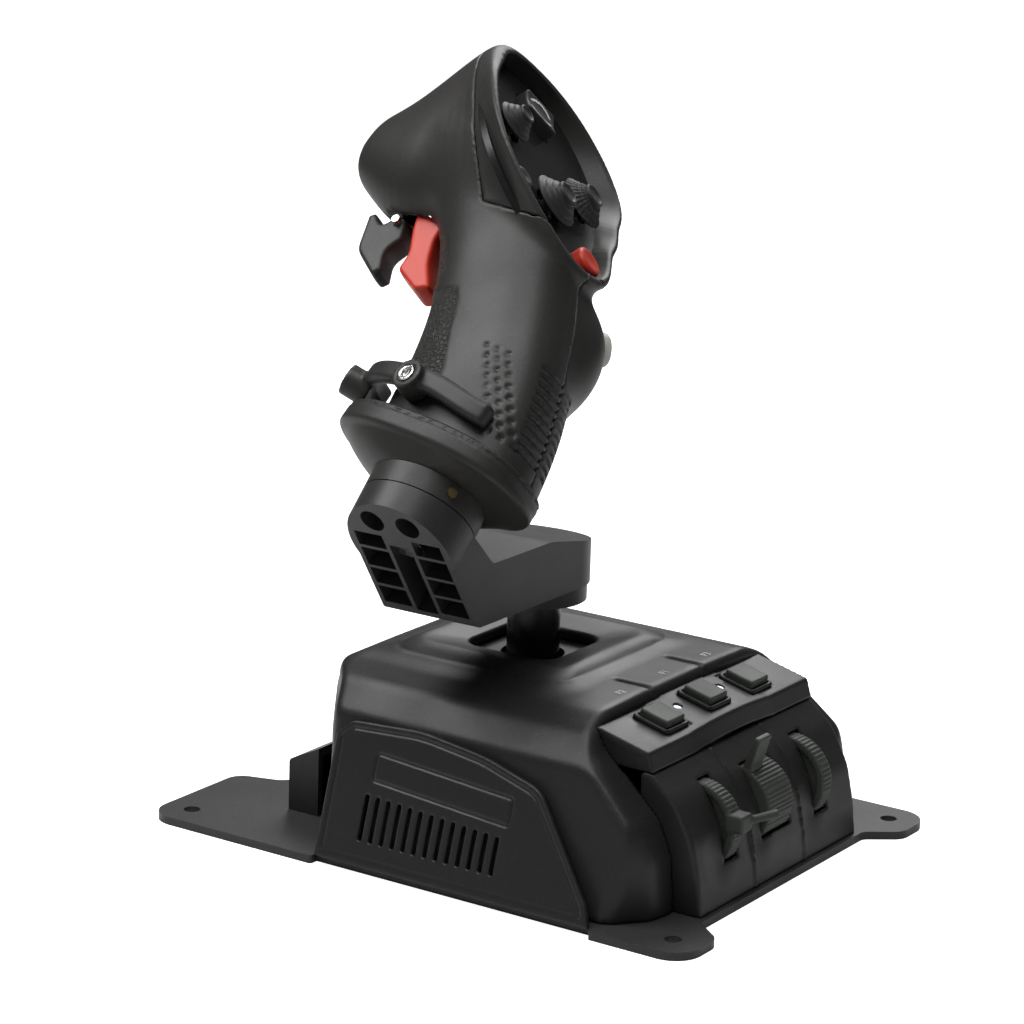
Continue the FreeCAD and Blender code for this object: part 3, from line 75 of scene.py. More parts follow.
def toLocal(place, points):
    return (np.asarray(points) - place[:, 3]) @ place[:, :3]


seat, gripAxis = jointPlace("grip_twist")
gripX = unit(np.cross((0, 1, 0), gripAxis))
grip = makeFrame(seat, gripX, (0, 1, 0), gripAxis)
world = makeFrame((0, 0, 0), (1, 0, 0), (0, 1, 0), (0, 0, 1))
faceNormal = -jointPlace("red_button_press")[1]
rockerPin, faceAcross = jointPlace("rocker_tilt")
faceUp = np.cross(faceNormal, faceAcross)
faceOrigin = rockerPin + 3 * faceAcross - 21 * faceUp + 10.8 * faceNormal
face = makeFrame(faceOrigin, faceAcross, faceUp, faceNormal)
restAxis = jointPlace("hand_rest_height")[1]
lip = makeFrame(toWorld(grip, (0, 1.5, 24.8)), gripX, np.cross(restAxis, gripX), restAxis)


cameraSetup = {
    "azimuth": -56.629,     # degrees round the part, from straight in front
    "elevation": 14.844,
    "roll": 1.831,
    "lens": 125.95,         # on a 36 mm sensor
    "place": (-1.0281, -0.6664, 0.4390),
}

lightSetup = {
    "sky": 1.0,             # as the camera sees it
    "skyLight": 0.07,       # as it lights the part
    "skyColor": (1.0, 1.0, 1.0),
    "floorColor": (0.75, 0.75, 0.745),
    "floorGlow": 0.95,
    # name: (azimuth, elevation, distance, size, watts)
    "lamps": {
        "keyLamp": (-150, 56, 1.3, 0.8, 12),
        "topLamp": (-60, 78, 1.2, 0.8, 8),
        "fillLamp": (-80, 22, 1.9, 1.2, 1.0),
        "backLamp": (110, 40, 1.3, 0.9, 10),
    },
}


# Sets a node's settings and sockets; a socket takes a number, a colour or another socket to link.
def setNode(tree, node, **values):
    for key, value in values.items():
        if hasattr(node, key):
            setattr(node, key, value)
            continue
        socket = node.inputs[key.replace("_", " ")]
        if isinstance(value, bpy.types.NodeSocket):
            tree.links.new(value, socket)
        else:
            socket.default_value = value
    return node


def addNode(tree, kind, **values):
    return setNode(tree, tree.nodes.new("ShaderNode" + kind), **values)


# Product, sum or another operation of numbers and sockets, from left to right.
def addMath(tree, operation, *values):
    result = values[0]
    for value in values[1:]:
        node = tree.nodes.new("ShaderNodeMath")
        node.operation = operation
        for socket, given in zip(node.inputs, (result, value)):
            if isinstance(given, bpy.types.NodeSocket):
                tree.links.new(given, socket)
            else:
                socket.default_value = given
        result = node.outputs[0]
    return result


def newMaterial(name):
    material = bpy.data.materials.new(name)
    material.use_nodes = True
    return material, material.node_tree, material.node_tree.nodes["Principled BSDF"]


def directionOf(azimuth, elevation):
    a, e = math.radians(azimuth), math.radians(elevation)
    return Vector((math.sin(a) * math.cos(e), -math.cos(a) * math.cos(e), math.sin(e)))


def makeCamera(setup):
    back = directionOf(setup["azimuth"], setup["elevation"])
    right = Vector((0, 0, 1)).cross(back).normalized()
    turn = Matrix.Rotation(math.radians(setup["roll"]), 3, back)
    right = turn @ right
    up = back.cross(right)
    data = bpy.data.cameras.new("studioCamera")
    data.lens = setup["lens"]
    data.sensor_width = 36
    data.clip_start = 0.05
    camera = bpy.data.objects.new("studioCamera", data)
    camera.matrix_world = Matrix.Translation(setup["place"]) @ Matrix((right, up, back)).transposed().to_4x4()
    bpy.context.scene.collection.objects.link(camera)
    bpy.context.scene.camera = camera


# Pale floor, white surroundings and four soft lamps.
def makeStage(setup):
    scene = bpy.context.scene
    scene.view_settings.view_transform = "Standard"
    surroundings = bpy.data.worlds.new("studio")
    surroundings.use_nodes = True
    background = surroundings.node_tree.nodes["Background"]
    background.inputs["Color"].default_value = (*setup["skyColor"], 1)
    tree = surroundings.node_tree
    strength = addNode(tree, "MapRange", Value=addNode(tree, "LightPath").outputs["Is Camera Ray"],
                       To_Min=setup["skyLight"], To_Max=setup["sky"])
    tree.links.new(strength.outputs["Result"], background.inputs["Strength"])
    scene.world = surroundings
    bpy.ops.mesh.primitive_plane_add(size=8)
    floor = bpy.context.object
    floor.name = "floor"
    paint, tree, shader = newMaterial("floorPaint")
    seen = addNode(tree, "LightPath").outputs["Is Camera Ray"]
    setNode(tree, shader, Base_Color=(*setup["floorColor"], 1), Roughness=0.8, Emission_Color=(1, 1, 1, 1),
            Emission_Strength=addMath(tree, "MULTIPLY", seen, setup["floorGlow"]))
    floor.data.materials.append(paint)
    for name, (azimuth, elevation, distance, size, watts) in setup["lamps"].items():
        lamp = bpy.data.lights.new(name, "AREA")
        lamp.shape = "DISK"
        lamp.size = size
        lamp.energy = watts
        away = directionOf(azimuth, elevation)
        obj = bpy.data.objects.new(name, lamp)
        obj.location = away * distance + Vector((0, 0, 0.12))
        obj.rotation_euler = away.to_track_quat("Z", "Y").to_euler()
        scene.collection.objects.link(obj)


makeCamera(cameraSetup)
makeStage(lightSetup)
print("camera, floor and lights are in place")


# Empty shader group; inputs are (name, default), outputs are (name, kind).
def newGroup(name, inputs, outputs):
    group = bpy.data.node_groups.new(name, "ShaderNodeTree")
    for label, value in inputs:
        socket = group.interface.new_socket(label, in_out="INPUT", socket_type="NodeSocketFloat")
        socket.default_value = value
    for label, kind in outputs:
        group.interface.new_socket(label, in_out="OUTPUT", socket_type=kind)
    return group, group.nodes.new("NodeGroupInput"), group.nodes.new("NodeGroupOutput")


def objectPlace(tree):
    return addNode(tree, "TexCoord").outputs["Object"]


# Fine spark-eroded texture of moulded plastic: a height and a slow variation.
def makeGrainGroup():
    group, source, result = newGroup("mouldGrain", [("Grain Size", 0.0006), ("Cloud Size", 0.03)],
                                     [("Height", "NodeSocketFloat"), ("Cloud", "NodeSocketFloat")])
    place = objectPlace(group)
    for label, output, detail, roughness in (("Grain Size", "Height", 3.0, 0.6), ("Cloud Size", "Cloud", 4.0, 0.55)):
        scale = addMath(group, "DIVIDE", 1.0, source.outputs[label])
        noise = addNode(group, "TexNoise", Vector=place, Scale=scale, Detail=detail, Roughness=roughness)
        group.links.new(noise.outputs["Fac"], result.inputs[output])
    return group


# Convex edges lightened, partly as polish from handling and partly as a painted edge highlight, and a little dust: two
# masks.
def makeWearAndHighlightGroup():
    group, source, result = newGroup("edgeWearAndHighlight", [("Edge", 0.5), ("Break Up", 0.6), ("Dust", 0.3)],
                                     [("WearAndHighlight", "NodeSocketFloat"), ("Dust", "NodeSocketFloat")])
    place = objectPlace(group)
    geometry = addNode(group, "NewGeometry")
    # Convex edges from pointiness; this mask lightens them, partly as scuffing and partly as a painted highlight.
    edge = addNode(group, "MapRange", Value=geometry.outputs["Pointiness"], From_Min=0.52, From_Max=0.60)
    patches = addNode(group, "TexNoise", Vector=place, Scale=160.0, Detail=5.0)
    missing = addMath(group, "MULTIPLY", patches.outputs["Fac"], source.outputs["Break Up"])
    broken = addMath(group, "SUBTRACT", 1.0, missing)
    wearAndHighlight = addMath(group, "MULTIPLY", edge.outputs["Result"], broken, source.outputs["Edge"])
    specks = addNode(group, "TexNoise", Vector=place, Scale=900.0, Detail=2.0)
    grains = addNode(group, "MapRange", Value=specks.outputs["Fac"], From_Min=0.56, From_Max=0.75)
    upward = addNode(group, "SeparateXYZ", Vector=geometry.outputs["Normal"])
    settled = addMath(group, "MAXIMUM", upward.outputs["Z"], 0.0)
    dust = addMath(group, "MULTIPLY", grains.outputs["Result"], settled, source.outputs["Dust"])
    group.links.new(wearAndHighlight, result.inputs["WearAndHighlight"])
    group.links.new(dust, result.inputs["Dust"])
    return group


# Pebbled leather grain: a height.
def makeLeatherGroup():
    group, source, result = newGroup("leatherGrain", [("Pebble Size", 0.0016)], [("Height", "NodeSocketFloat")])
    place = objectPlace(group)
    warp = addNode(group, "TexNoise", Vector=place, Scale=400.0, Detail=2.0)
    moved = addNode(group, "VectorMath", operation="MULTIPLY_ADD")
    moved.inputs[1].default_value = (0.0012, 0.0012, 0.0012)
    group.links.new(warp.outputs["Color"], moved.inputs[0])
    group.links.new(place, moved.inputs[2])
    scale = addMath(group, "DIVIDE", 1.0, source.outputs["Pebble Size"])
    cells = addNode(group, "TexVoronoi", feature="DISTANCE_TO_EDGE", Vector=moved.outputs[0], Scale=scale)
    domed = addNode(group, "MapRange", interpolation_type="SMOOTHSTEP", Value=cells.outputs["Distance"], From_Max=0.22)
    group.links.new(domed.outputs["Result"], result.inputs["Height"])
    return group


# Turning marks on metal: a height and a stain mask.
def makeBrushGroup():
    group, source, result = newGroup("turnedMarks", [("Pitch", 0.0004)],
                                     [("Height", "NodeSocketFloat"), ("Stain", "NodeSocketFloat")])
    place = objectPlace(group)
    stretch = addNode(group, "Mapping", Vector=place, Scale=(1.0, 0.15, 0.15))
    scale = addMath(group, "DIVIDE", 1.0, source.outputs["Pitch"])
    waves = addNode(group, "TexNoise", Vector=stretch.outputs[0], Scale=scale, Detail=2.0)
    stain = addNode(group, "TexNoise", Vector=place, Scale=120.0, Detail=4.0)
    group.links.new(waves.outputs["Fac"], result.inputs["Height"])
    group.links.new(stain.outputs["Fac"], result.inputs["Stain"])
    return group


mouldGrain = makeGrainGroup()
edgeWearAndHighlight = makeWearAndHighlightGroup()
leatherGrain = makeLeatherGroup()
turnedMarks = makeBrushGroup()


# Mix of two colours; each may be a value or a socket.
def mixColor(tree, factor, first, second):
    node = addNode(tree, "Mix", data_type="RGBA")
    for socket, value in ((node.inputs[0], factor), (node.inputs[6], first), (node.inputs[7], second)):
        if isinstance(value, bpy.types.NodeSocket):
            tree.links.new(value, socket)
        else:
            socket.default_value = (*value, 1) if isinstance(value, tuple) else value
    return node.outputs[2]


# Maps a 0 to 1 mask to a range.
def spread(tree, value, low, high):
    node = addNode(tree, "MapRange", Value=value, From_Min=0.3, From_Max=0.7, To_Min=low, To_Max=high)
    return node.outputs["Result"]


# Moulded plastic: grain, clouded colour and sheen, convex edges made lighter partly by scuffing from handling and
# partly as a painted highlight, settled dust.
def plastic(name, color, roughness, grain=0.0006, depth=0.00003, wearAndHighlight=0.4, dust=0.15, specular=0.32, coat=0.0,
            leather=False):
    material, tree, shader = newMaterial(name)
    texture = addNode(tree, "Group", node_tree=mouldGrain, Grain_Size=grain)
    wearHighlightAndDust = addNode(tree, "Group", node_tree=edgeWearAndHighlight, Edge=wearAndHighlight, Dust=dust)
    # Lighter tone for convex edges: partly scuffing from handling, partly a painted edge highlight.
    wornHighlightColor = tuple(min(1.0, c * 1.5 + 0.006) for c in color)
    dark = tuple(c * 0.8 for c in color)
    body = mixColor(tree, spread(tree, texture.outputs["Cloud"], 0.0, 1.0), dark, color)
    rubbedAndHighlighted = mixColor(tree, wearHighlightAndDust.outputs["WearAndHighlight"], body, wornHighlightColor)
    dusty = mixColor(tree, wearHighlightAndDust.outputs["Dust"], rubbedAndHighlighted, (0.14, 0.135, 0.13))
    sheen = spread(tree, texture.outputs["Cloud"], roughness + 0.05, roughness - 0.05)
    polished = addMath(tree, "SUBTRACT", sheen, addMath(tree, "MULTIPLY", wearHighlightAndDust.outputs["WearAndHighlight"], 0.12))
    height = texture.outputs["Height"]
    if leather:
        pebbles = addNode(tree, "Group", node_tree=leatherGrain)
        height = addMath(tree, "ADD", addMath(tree, "MULTIPLY", pebbles.outputs["Height"], 6.0), height)
    bump = addNode(tree, "Bump", Distance=depth, Strength=1.0, Height=height)
    setNode(tree, shader, Base_Color=dusty, Roughness=polished, Specular_IOR_Level=specular, Coat_Weight=coat,
            Coat_Roughness=0.12, Normal=bump.outputs["Normal"])
    return material


# Turned, ground or cast metal with faint stains.
def metal(name, color, roughness, pitch=0.0004, depth=0.00002):
    material, tree, shader = newMaterial(name)
    marks = addNode(tree, "Group", node_tree=turnedMarks, Pitch=pitch)
    stain = marks.outputs["Stain"]
    stained = mixColor(tree, spread(tree, stain, 0.0, 1.0), tuple(c * 0.78 for c in color), color)
    bump = addNode(tree, "Bump", Distance=depth, Height=marks.outputs["Height"])
    setNode(tree, shader, Base_Color=stained, Roughness=spread(tree, stain, roughness + 0.08, roughness - 0.05),
            Metallic=1.0, Normal=bump.outputs["Normal"])
    return material


# Clear lens lit from below, brighter in the middle of its grain.
def lampGlow(name, color, strength):
    material = plastic(name, color, 0.2, depth=0.00001, wearAndHighlight=0.1, dust=0.0)
    tree = material.node_tree
    cells = addNode(tree, "TexNoise", Scale=700.0)
    setNode(tree, tree.nodes["Principled BSDF"], Emission_Strength=strength,
            Emission_Color=mixColor(tree, cells.outputs["Fac"], color, (1.0, 1.0, 1.0)))
    return material


def slotColor(slot):
    return tuple(next(m["base_color"] for m in frame["record"]["materials"] if m["slot"] == slot))


finishes = {
    "plate_steel": plastic("powderCoat", slotColor("plate_steel"), 0.42, grain=0.0009, depth=0.00005, wearAndHighlight=0.5),
    "housing_plastic": plastic("housingPlastic", slotColor("housing_plastic"), 0.40),
    "bezel_rubber": plastic("bezelRubber", slotColor("bezel_rubber"), 0.45, wearAndHighlight=0.2),
    "lamp_lens": lampGlow("lampLens", slotColor("lamp_lens"), 1.2),
    "control_grey": plastic("controlGrey", slotColor("control_grey"), 0.5, grain=0.0005),
    "cast_zinc": metal("castZinc", slotColor("cast_zinc"), 0.45, pitch=0.0012, depth=0.00006),
    "machined_steel": metal("machinedSteel", slotColor("machined_steel"), 0.25),
    "screw_steel": metal("platedSteel", slotColor("screw_steel"), 0.16),
    "inner_plastic": plastic("innerPlastic", slotColor("inner_plastic"), 0.5),
    "board": plastic("boardMask", slotColor("board"), 0.3, wearAndHighlight=0.1),
    "socket_metal": metal("socketMetal", slotColor("socket_metal"), 0.3),
    "arm_plastic": plastic("armPlastic", slotColor("arm_plastic"), 0.42),
    "shaft_coated": plastic("shaftCoating", slotColor("shaft_coated"), 0.25, depth=0.00001),
    "grip_plastic": plastic("gripPlastic", slotColor("grip_plastic"), 0.44, grain=0.0007, depth=0.00004),
    "face_plastic": plastic("facePlastic", slotColor("face_plastic"), 0.24, depth=0.00001, wearAndHighlight=0.25, dust=0.05),
    "cap_plastic": plastic("capPlastic", slotColor("cap_plastic"), 0.5),
    "brass": metal("turnedBrass", slotColor("brass"), 0.2),
    "red_plastic": plastic("redPlastic", slotColor("red_plastic"), 0.36, depth=0.00002, dust=0.05),
    "light_button": plastic("lightButton", slotColor("light_button"), 0.4, depth=0.00002, dust=0.0, wearAndHighlight=0.2),
}
leatherSkin = plastic("leatherSkin", slotColor("grip_plastic"), 0.5, depth=0.00006, leather=True)
labelInk = plastic("labelInk", (0.75, 0.75, 0.73), 0.6, depth=0.00001, wearAndHighlight=0.0, dust=0.0)

for part in frame["record"]["subparts"]:
    obj = nodes[part["node"]]
    finish = finishes[part["material_slot"]]
    if not obj.material_slots:
        obj.data.materials.append(finish)
    for slot in obj.material_slots:
        slot.material = finish
print("finishes made:", len(finishes) + 2)

# A form is a function of x, y and z in millimetres that is negative inside, so forms join, cut
# and blend with the few functions below; skinOf then wraps the form in quads.

# Union of two forms, with a fillet of about the blend.
def joined(a, b, blend=0.0):
    if not blend:
        return np.minimum(a, b)
    h = np.clip(0.5 + 0.5 * (b - a) / blend, 0, 1)
    return b + (a - b) * h - blend * h * (1 - h)


# Intersection of two forms, with a rounding of about the blend.
def common(a, b, blend=0.0):
    return -joined(-a, -b, blend)


def cut(a, b, blend=0.0):
    return -joined(-a, b, blend)


# Box about the origin with rounded edges.
def bar(x, y, z, half, rounding=0.0):
    dx, dy, dz = (np.abs(v) - h + rounding for v, h in zip((x, y, z), half))
    outside = np.sqrt(np.maximum(dx, 0) ** 2 + np.maximum(dy, 0) ** 2 + np.maximum(dz, 0) ** 2)
    return outside + np.minimum(np.maximum(np.maximum(dx, dy), dz), 0) - rounding


# Distance to a closed outline in a plane; corners are rounded outwards.
def slab(u, v, points, rounding=0.0):
    points = np.asarray(points, float)
    nearest = None
    sign = 1.0
    for a, b in zip(points, np.roll(points, -1, axis=0)):
        edge = b - a
        pu, pv = u - a[0], v - a[1]
        share = np.clip((pu * edge[0] + pv * edge[1]) / edge.dot(edge), 0, 1)
        away = (pu - edge[0] * share) ** 2 + (pv - edge[1] * share) ** 2
        nearest = away if nearest is None else np.minimum(nearest, away)
        first, second = v >= a[1], v >= b[1]
        turn = edge[0] * pv - edge[1] * pu
        crossed = (first & ~second & (turn < 0)) | (~first & second & (turn > 0))
        sign = sign * np.where(crossed, -1.0, 1.0)
    return np.sqrt(nearest) * sign - rounding


# Round bar between two points, with flat ends.
def rod(x, y, z, start, end, radius):
    start, end = np.asarray(start, float), np.asarray(end, float)
    axis = unit(end - start)
    px, py, pz = x - start[0], y - start[1], z - start[2]
    along = px * axis[0] + py * axis[1] + pz * axis[2]
    away = np.sqrt(np.maximum((px ** 2 + py ** 2 + pz ** 2) - along ** 2, 0)) - radius
    middle = np.linalg.norm(end - start) / 2
    return np.maximum(away, np.abs(along - middle) - middle)


# Superellipse in a plane.
def oval(x, y, halfX, halfY, power):
    reach = (np.abs(x / halfX) ** power + np.abs(y / halfY) ** power) ** (1 / power)
    return (reach - 1) * np.minimum(halfX, halfY)


# Points and quads of a form's surface: one point in each cell that it crosses, drawn onto it.
def skinOf(form, low, high, step):
    axes = [np.arange(a - 1.5 * step, b + 2 * step, step) for a, b in zip(low, high)]
    shape = tuple(len(a) for a in axes)
    values = np.ascontiguousarray(np.broadcast_to(form(*np.ix_(*axes)), shape), np.float32)
    inside = values < 0
    corners = [(i, j, k) for i in (0, 1) for j in (0, 1) for k in (0, 1)]
    count = np.zeros([n - 1 for n in shape], np.int8)
    for i, j, k in corners:
        count += inside[i:shape[0] - 1 + i, j:shape[1] - 1 + j, k:shape[2] - 1 + k]
    mixed = (count > 0) & (count < 8)
    cells = np.argwhere(mixed)
    number = np.full(mixed.shape, -1, np.int64)
    number[mixed] = np.arange(len(cells))
    total = np.zeros((len(cells), 3))
    crossings = np.zeros((len(cells), 1))
    for a in corners:
        for axis in range(3):
            if a[axis]:
                continue
            b = tuple(v + (n == axis) for n, v in enumerate(a))
            first = values[tuple((cells + a).T)]
            second = values[tuple((cells + b).T)]
            crossed = (first < 0) != (second < 0)
            share = np.where(crossed, first / np.where(crossed, first - second, 1), 0)
            total += (np.array(a) + share[:, None] * (np.array(b) - np.array(a))) * crossed[:, None]
            crossings += crossed[:, None]
    points = (cells + total / crossings) * step + [a[0] for a in axes]
    quads = []
    for axis in range(3):
        one, two = np.eye(3, dtype=int)[[(axis + 1) % 3, (axis + 2) % 3]]
        near = [slice(1, -1)] * 3
        near[axis] = slice(0, -1)
        far = list(near)
        far[axis] = slice(1, None)
        begin, finish = inside[tuple(near)], inside[tuple(far)]
        edges = np.argwhere(begin != finish)
        leaving = begin[tuple(edges.T)]
        edges = edges + [0 if n == axis else 1 for n in range(3)]
        ring = np.stack([number[tuple((edges - d).T)] for d in (0 * one, one, one + two, two)], axis=1)
        ring[~leaving] = ring[~leaving][:, ::-1]
        quads.append(ring)
    quads = np.concatenate(quads)
    reach = step * 0.2
    for _ in range(2):
        slope = np.stack([form(*(points + reach * e).T) - form(*(points - reach * e).T) for e in np.eye(3)], axis=1)
        slope = slope / (2 * reach)
        move = form(*points.T)[:, None] * slope / np.maximum((slope ** 2).sum(1, keepdims=True), 0.2)
        points = points - np.clip(move, -0.5 * step, 0.5 * step)
    return points, quads


# Mesh object from local points in millimetres, riding on a body.
def addPiece(name, points, quads, place, slot, body, replaced=(), finish=None):
    mesh = bpy.data.meshes.new(name)
    quads = np.asarray(quads)
    mesh.vertices.add(len(points))
    mesh.vertices.foreach_set("co", (toWorld(place, points) * mm).astype(np.float32).ravel())
    mesh.loops.add(quads.size)
    mesh.loops.foreach_set("vertex_index", quads.astype(np.int32).ravel())
    mesh.polygons.add(len(quads))
    mesh.polygons.foreach_set("loop_start", np.arange(0, quads.size, quads.shape[1], dtype=np.int32))
    mesh.update(calc_edges=True)
    mesh.shade_smooth()
    obj = bpy.data.objects.new(name, mesh)
    bpy.context.scene.collection.objects.link(obj)
    mesh.materials.append(finish or finishes[slot])
    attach(obj, body)
    if replaced:
        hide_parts(*replaced)
    return obj


def formPiece(name, form, low, high, step, place, slot, body, replaced=(), finish=None):
    points, quads = skinOf(form, low, high, step)
    obj = addPiece(name, points, quads, place, slot, body, replaced, finish)
    print(f"  {name}: {len(quads)} faces")
    return obj


# Corners of a CAD node in millimetres.
def box(name):
    low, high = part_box(name)
    return np.array(low) / mm, np.array(high) / mm


gripShape = {
    "halfWidth": 21.0,
    "wall": 2.8,
    "power": 2.5,
    # height, rear, front, share of the half width
    "stations": [(4, -38, 27, 1), (22, -36, 27, 1), (40, -33.5, 27.5, 1), (56, -31, 28, 1), (72, -25.5, 31, 1),
                 (88, -19.5, 35, 0.98), (104, -15, 42, 1.05), (120, -9, 49, 1.2), (136, -2, 52, 1.3)],
    # y, height, half width, half height, lean in degrees
    "headStations": [(92, 141.5, 10.5, 11, -13), (84, 140.5, 15.5, 17, -8), (66, 142, 21.5, 30, 6),
                     (44, 151, 28.5, 37, 22)],
    "headPower": 2.3,
    # across, up
    "faceOutline": [(43.5, 8), (36, 28), (24, 39), (11, 44), (-6, 43.5), (-22, 39), (-32, 20), (-38, -4),
                    (-37, -24), (-27, -44), (-10, -58), (7, -64), (21, -58), (29, -34), (38, -10)],
    "faceMiddle": (3.0, -6.0),
    "thumbRest": ((16, -12, 76), (14, 15, 22)),
    "blend": 11.0,
    # slots of the trigger and the flip trigger: half width, (y, half length), (height, half height)
    "slots": [(6.6, (40, 20.5), (101.5, 21.5)), (5.8, (66, 8), (107.5, 8))],
    "buttonHole": 6.6,
    "seam": 0.16,
}

ribs = {"count": 11, "lowest": 25.0, "pitch": 3.3, "half": 11.0, "width": 0.55, "depth": 0.7}
pits = {"rows": 9, "columns": 3, "top": (-8.0, 58.0), "row": (-1.9, -3.9), "column": (-4.2, -0.7), "half": 0.85,
        "depth": 0.55}
skinPatches = {
    # outlines as y and height, on the left side
    "lower": [(40, 79), (15.5, 79), (12.5, 74), (8, 58), (3.5, 46), (3, 39), (40, 39)],
    "upper": [(50, 104), (36, 103), (28.5, 97), (26, 88), (29, 83), (50, 82)],
}

faceLocal = makeFrame(toLocal(grip, face[:, 3]), *(grip[:, :3].T @ face[:, n] for n in range(3)))


# Rings of the head from nose to face: middle, two axes, normal and radius for each angle.
def makeHeadTable(shape, rings=25, spokes=72):
    angles = np.linspace(0, 2 * math.pi, spokes, endpoint=False)
    cosine, sine = np.cos(angles), np.sin(angles)
    keys = []
    for y, z, half, high, lean in shape["headStations"]:
        lean = math.radians(lean)
        power = shape["headPower"]
        radius = (np.abs(cosine / half) ** power + np.abs(sine / high) ** power) ** (-1 / power)
        keys.append(np.concatenate([(0, y, z), (1, 0, 0), (0, math.sin(lean), math.cos(lean)), radius]))
    away = np.array(shape["faceOutline"]) - shape["faceMiddle"]
    order = np.argsort(np.arctan2(away[:, 1], away[:, 0]))
    bearing = np.arctan2(away[:, 1], away[:, 0])[order]
    reach = np.hypot(away[:, 0], away[:, 1])[order]
    bearing = np.concatenate([bearing - 2 * math.pi, bearing, bearing + 2 * math.pi])
    fine = np.linspace(-math.pi, 3 * math.pi, 1441)
    smooth = np.interp(fine, bearing, np.tile(reach, 3))
    margin = 60
    kernel = np.hanning(margin + 1)
    smooth = np.convolve(smooth, kernel / kernel.sum(), mode="same")
    radius = np.interp(angles, fine[margin:-margin], smooth[margin:-margin])
    middle = faceLocal[:, :3] @ (*shape["faceMiddle"], 0) + faceLocal[:, 3]
    keys.append(np.concatenate([middle, faceLocal[:, 0], faceLocal[:, 1], radius]))
    keys = np.array(keys)
    padded = np.vstack([2 * keys[0] - keys[1], keys, 2 * keys[-1] - keys[-2]])
    table = []
    for q in np.linspace(0, len(keys) - 1, rings):
        k = min(int(q), len(keys) - 2)
        s = q - k
        a, b, c, d = padded[k:k + 4]
        table.append(0.5 * (2 * b + (c - a) * s + (2 * a - 5 * b + 4 * c - d) * s * s
                            + (3 * b - a - 3 * c + d) * s ** 3))
    table = np.array(table)
    table[:, 3:6] /= np.linalg.norm(table[:, 3:6], axis=1)[:, None]
    table[:, 6:9] -= (table[:, 6:9] * table[:, 3:6]).sum(1)[:, None] * table[:, 3:6]
    table[:, 6:9] /= np.linalg.norm(table[:, 6:9], axis=1)[:, None]
    normal = np.cross(table[:, 3:6], table[:, 6:9])
    return table, normal


headTable, headNormals = makeHeadTable(gripShape)


# Head from nose to face; the rings between stand across its curved axis.
def headForm(x, y, z):
    x, y, z = np.broadcast_arrays(x, y, z)
    flat = np.stack([x.ravel(), y.ravel(), z.ravel()], axis=1).astype(np.float64)
    heights = [(flat - row[:3]) @ normal for row, normal in zip(headTable, headNormals)]
    q = np.zeros(len(flat))
    for near, far in zip(heights, heights[1:]):
        q += np.clip(near / np.maximum(near - far, 1e-6), 0, 1)
    stops = np.arange(len(headTable))
    middle, across, up = (np.stack([np.interp(q, stops, headTable[:, n + m]) for m in range(3)], axis=1)
                          for n in (0, 3, 6))
    local = flat - middle
    a = (local * across).sum(1)
    b = (local * up).sum(1)
    spokes = headTable.shape[1] - 9
    turn = np.mod(np.arctan2(b, a), 2 * math.pi) / (2 * math.pi) * spokes
    left = np.floor(turn).astype(int)
    share = turn - left
    low = np.minimum(np.floor(q).astype(int), len(headTable) - 2)
    rise = q - low
    radii = headTable[:, 9:]
    reach = sum(radii[low + i, (left + j) % spokes] * (rise if i else 1 - rise) * (share if j else 1 - share)
                for i in (0, 1) for j in (0, 1))
    side = np.hypot(a, b) - reach
    form = common(side * 0.93, -heights[0], 7.0)
    return form.reshape(x.shape)


# Across, up and out from the rim of the face, from grip coordinates.
def faceCoordinates(x, y, z):
    ox, oy, oz = (v - o for v, o in zip((x, y, z), faceLocal[:, 3]))
    return tuple(ox * faceLocal[0, n] + oy * faceLocal[1, n] + oz * faceLocal[2, n] for n in range(3))


stationTable = np.array(gripShape["stations"], float)
rearCurve, frontCurve, shareCurve = (np.polyfit(stationTable[:, 0], stationTable[:, n], 5) for n in (1, 2, 3))


def handleForm(x, y, z):
    rear, front = np.polyval(rearCurve, z), np.polyval(frontCurve, z)
    half = gripShape["halfWidth"] * np.polyval(shareCurve, z)
    return oval(x, y - (front + rear) / 2, half, (front - rear) / 2, gripShape["power"])


# Outer form of handle, thumb rest and head, without an end at the face.
def openForm(x, y, z):
    handle = common(handleForm(x, y, z), z - 137, 6)
    (cx, cy, cz), (rx, ry, rz) = gripShape["thumbRest"]
    bulge = np.sqrt(((x - cx) / rx) ** 2 + ((y - cy) / ry) ** 2 + ((z - cz) / rz) ** 2)
    handle = joined(handle, (bulge - 1) * min(rx, ry, rz), 9)
    return joined(handle, headForm(x, y, z), gripShape["blend"])


# The same form, closed at the rim of the face.
def gripForm(x, y, z):
    return common(openForm(x, y, z), faceCoordinates(x, y, z)[2], 2.0)


# Depth cut from the outer surface: rear ribs, square pits and the edges of the leather patches.
def gripDetail(x, y, z):
    depth = 0.0
    offset = np.abs(np.mod(z - ribs["lowest"] + ribs["pitch"] / 2, ribs["pitch"]) - ribs["pitch"] / 2)
    top = ribs["lowest"] + (ribs["count"] - 1) * ribs["pitch"]
    rear = (y < -8) & (np.abs(x + 1) < ribs["half"]) & (z > ribs["lowest"] - 1) & (z < top + 1)
    groove = np.clip(1.6 - offset / ribs["width"], 0, 1)
    depth = depth + ribs["depth"] * groove * rear
    for row in range(pits["rows"]):
        for column in range(pits["columns"]):
            py = pits["top"][0] + row * pits["row"][0] + column * pits["column"][0]
            pz = pits["top"][1] + row * pits["row"][1] + column * pits["column"][1]
            edge = np.maximum(np.abs(y - py), np.abs(z - pz)) - pits["half"]
            depth = depth + pits["depth"] * np.clip(0.5 - edge / 0.5, 0, 1) * (np.abs(x) > 8) * (x < 0)
    for outline in skinPatches.values():
        edge = slab(y, z, outline)
        depth = depth + 0.35 * np.clip(0.5 - edge / 0.8, 0, 1) * (x < -1)
    return depth


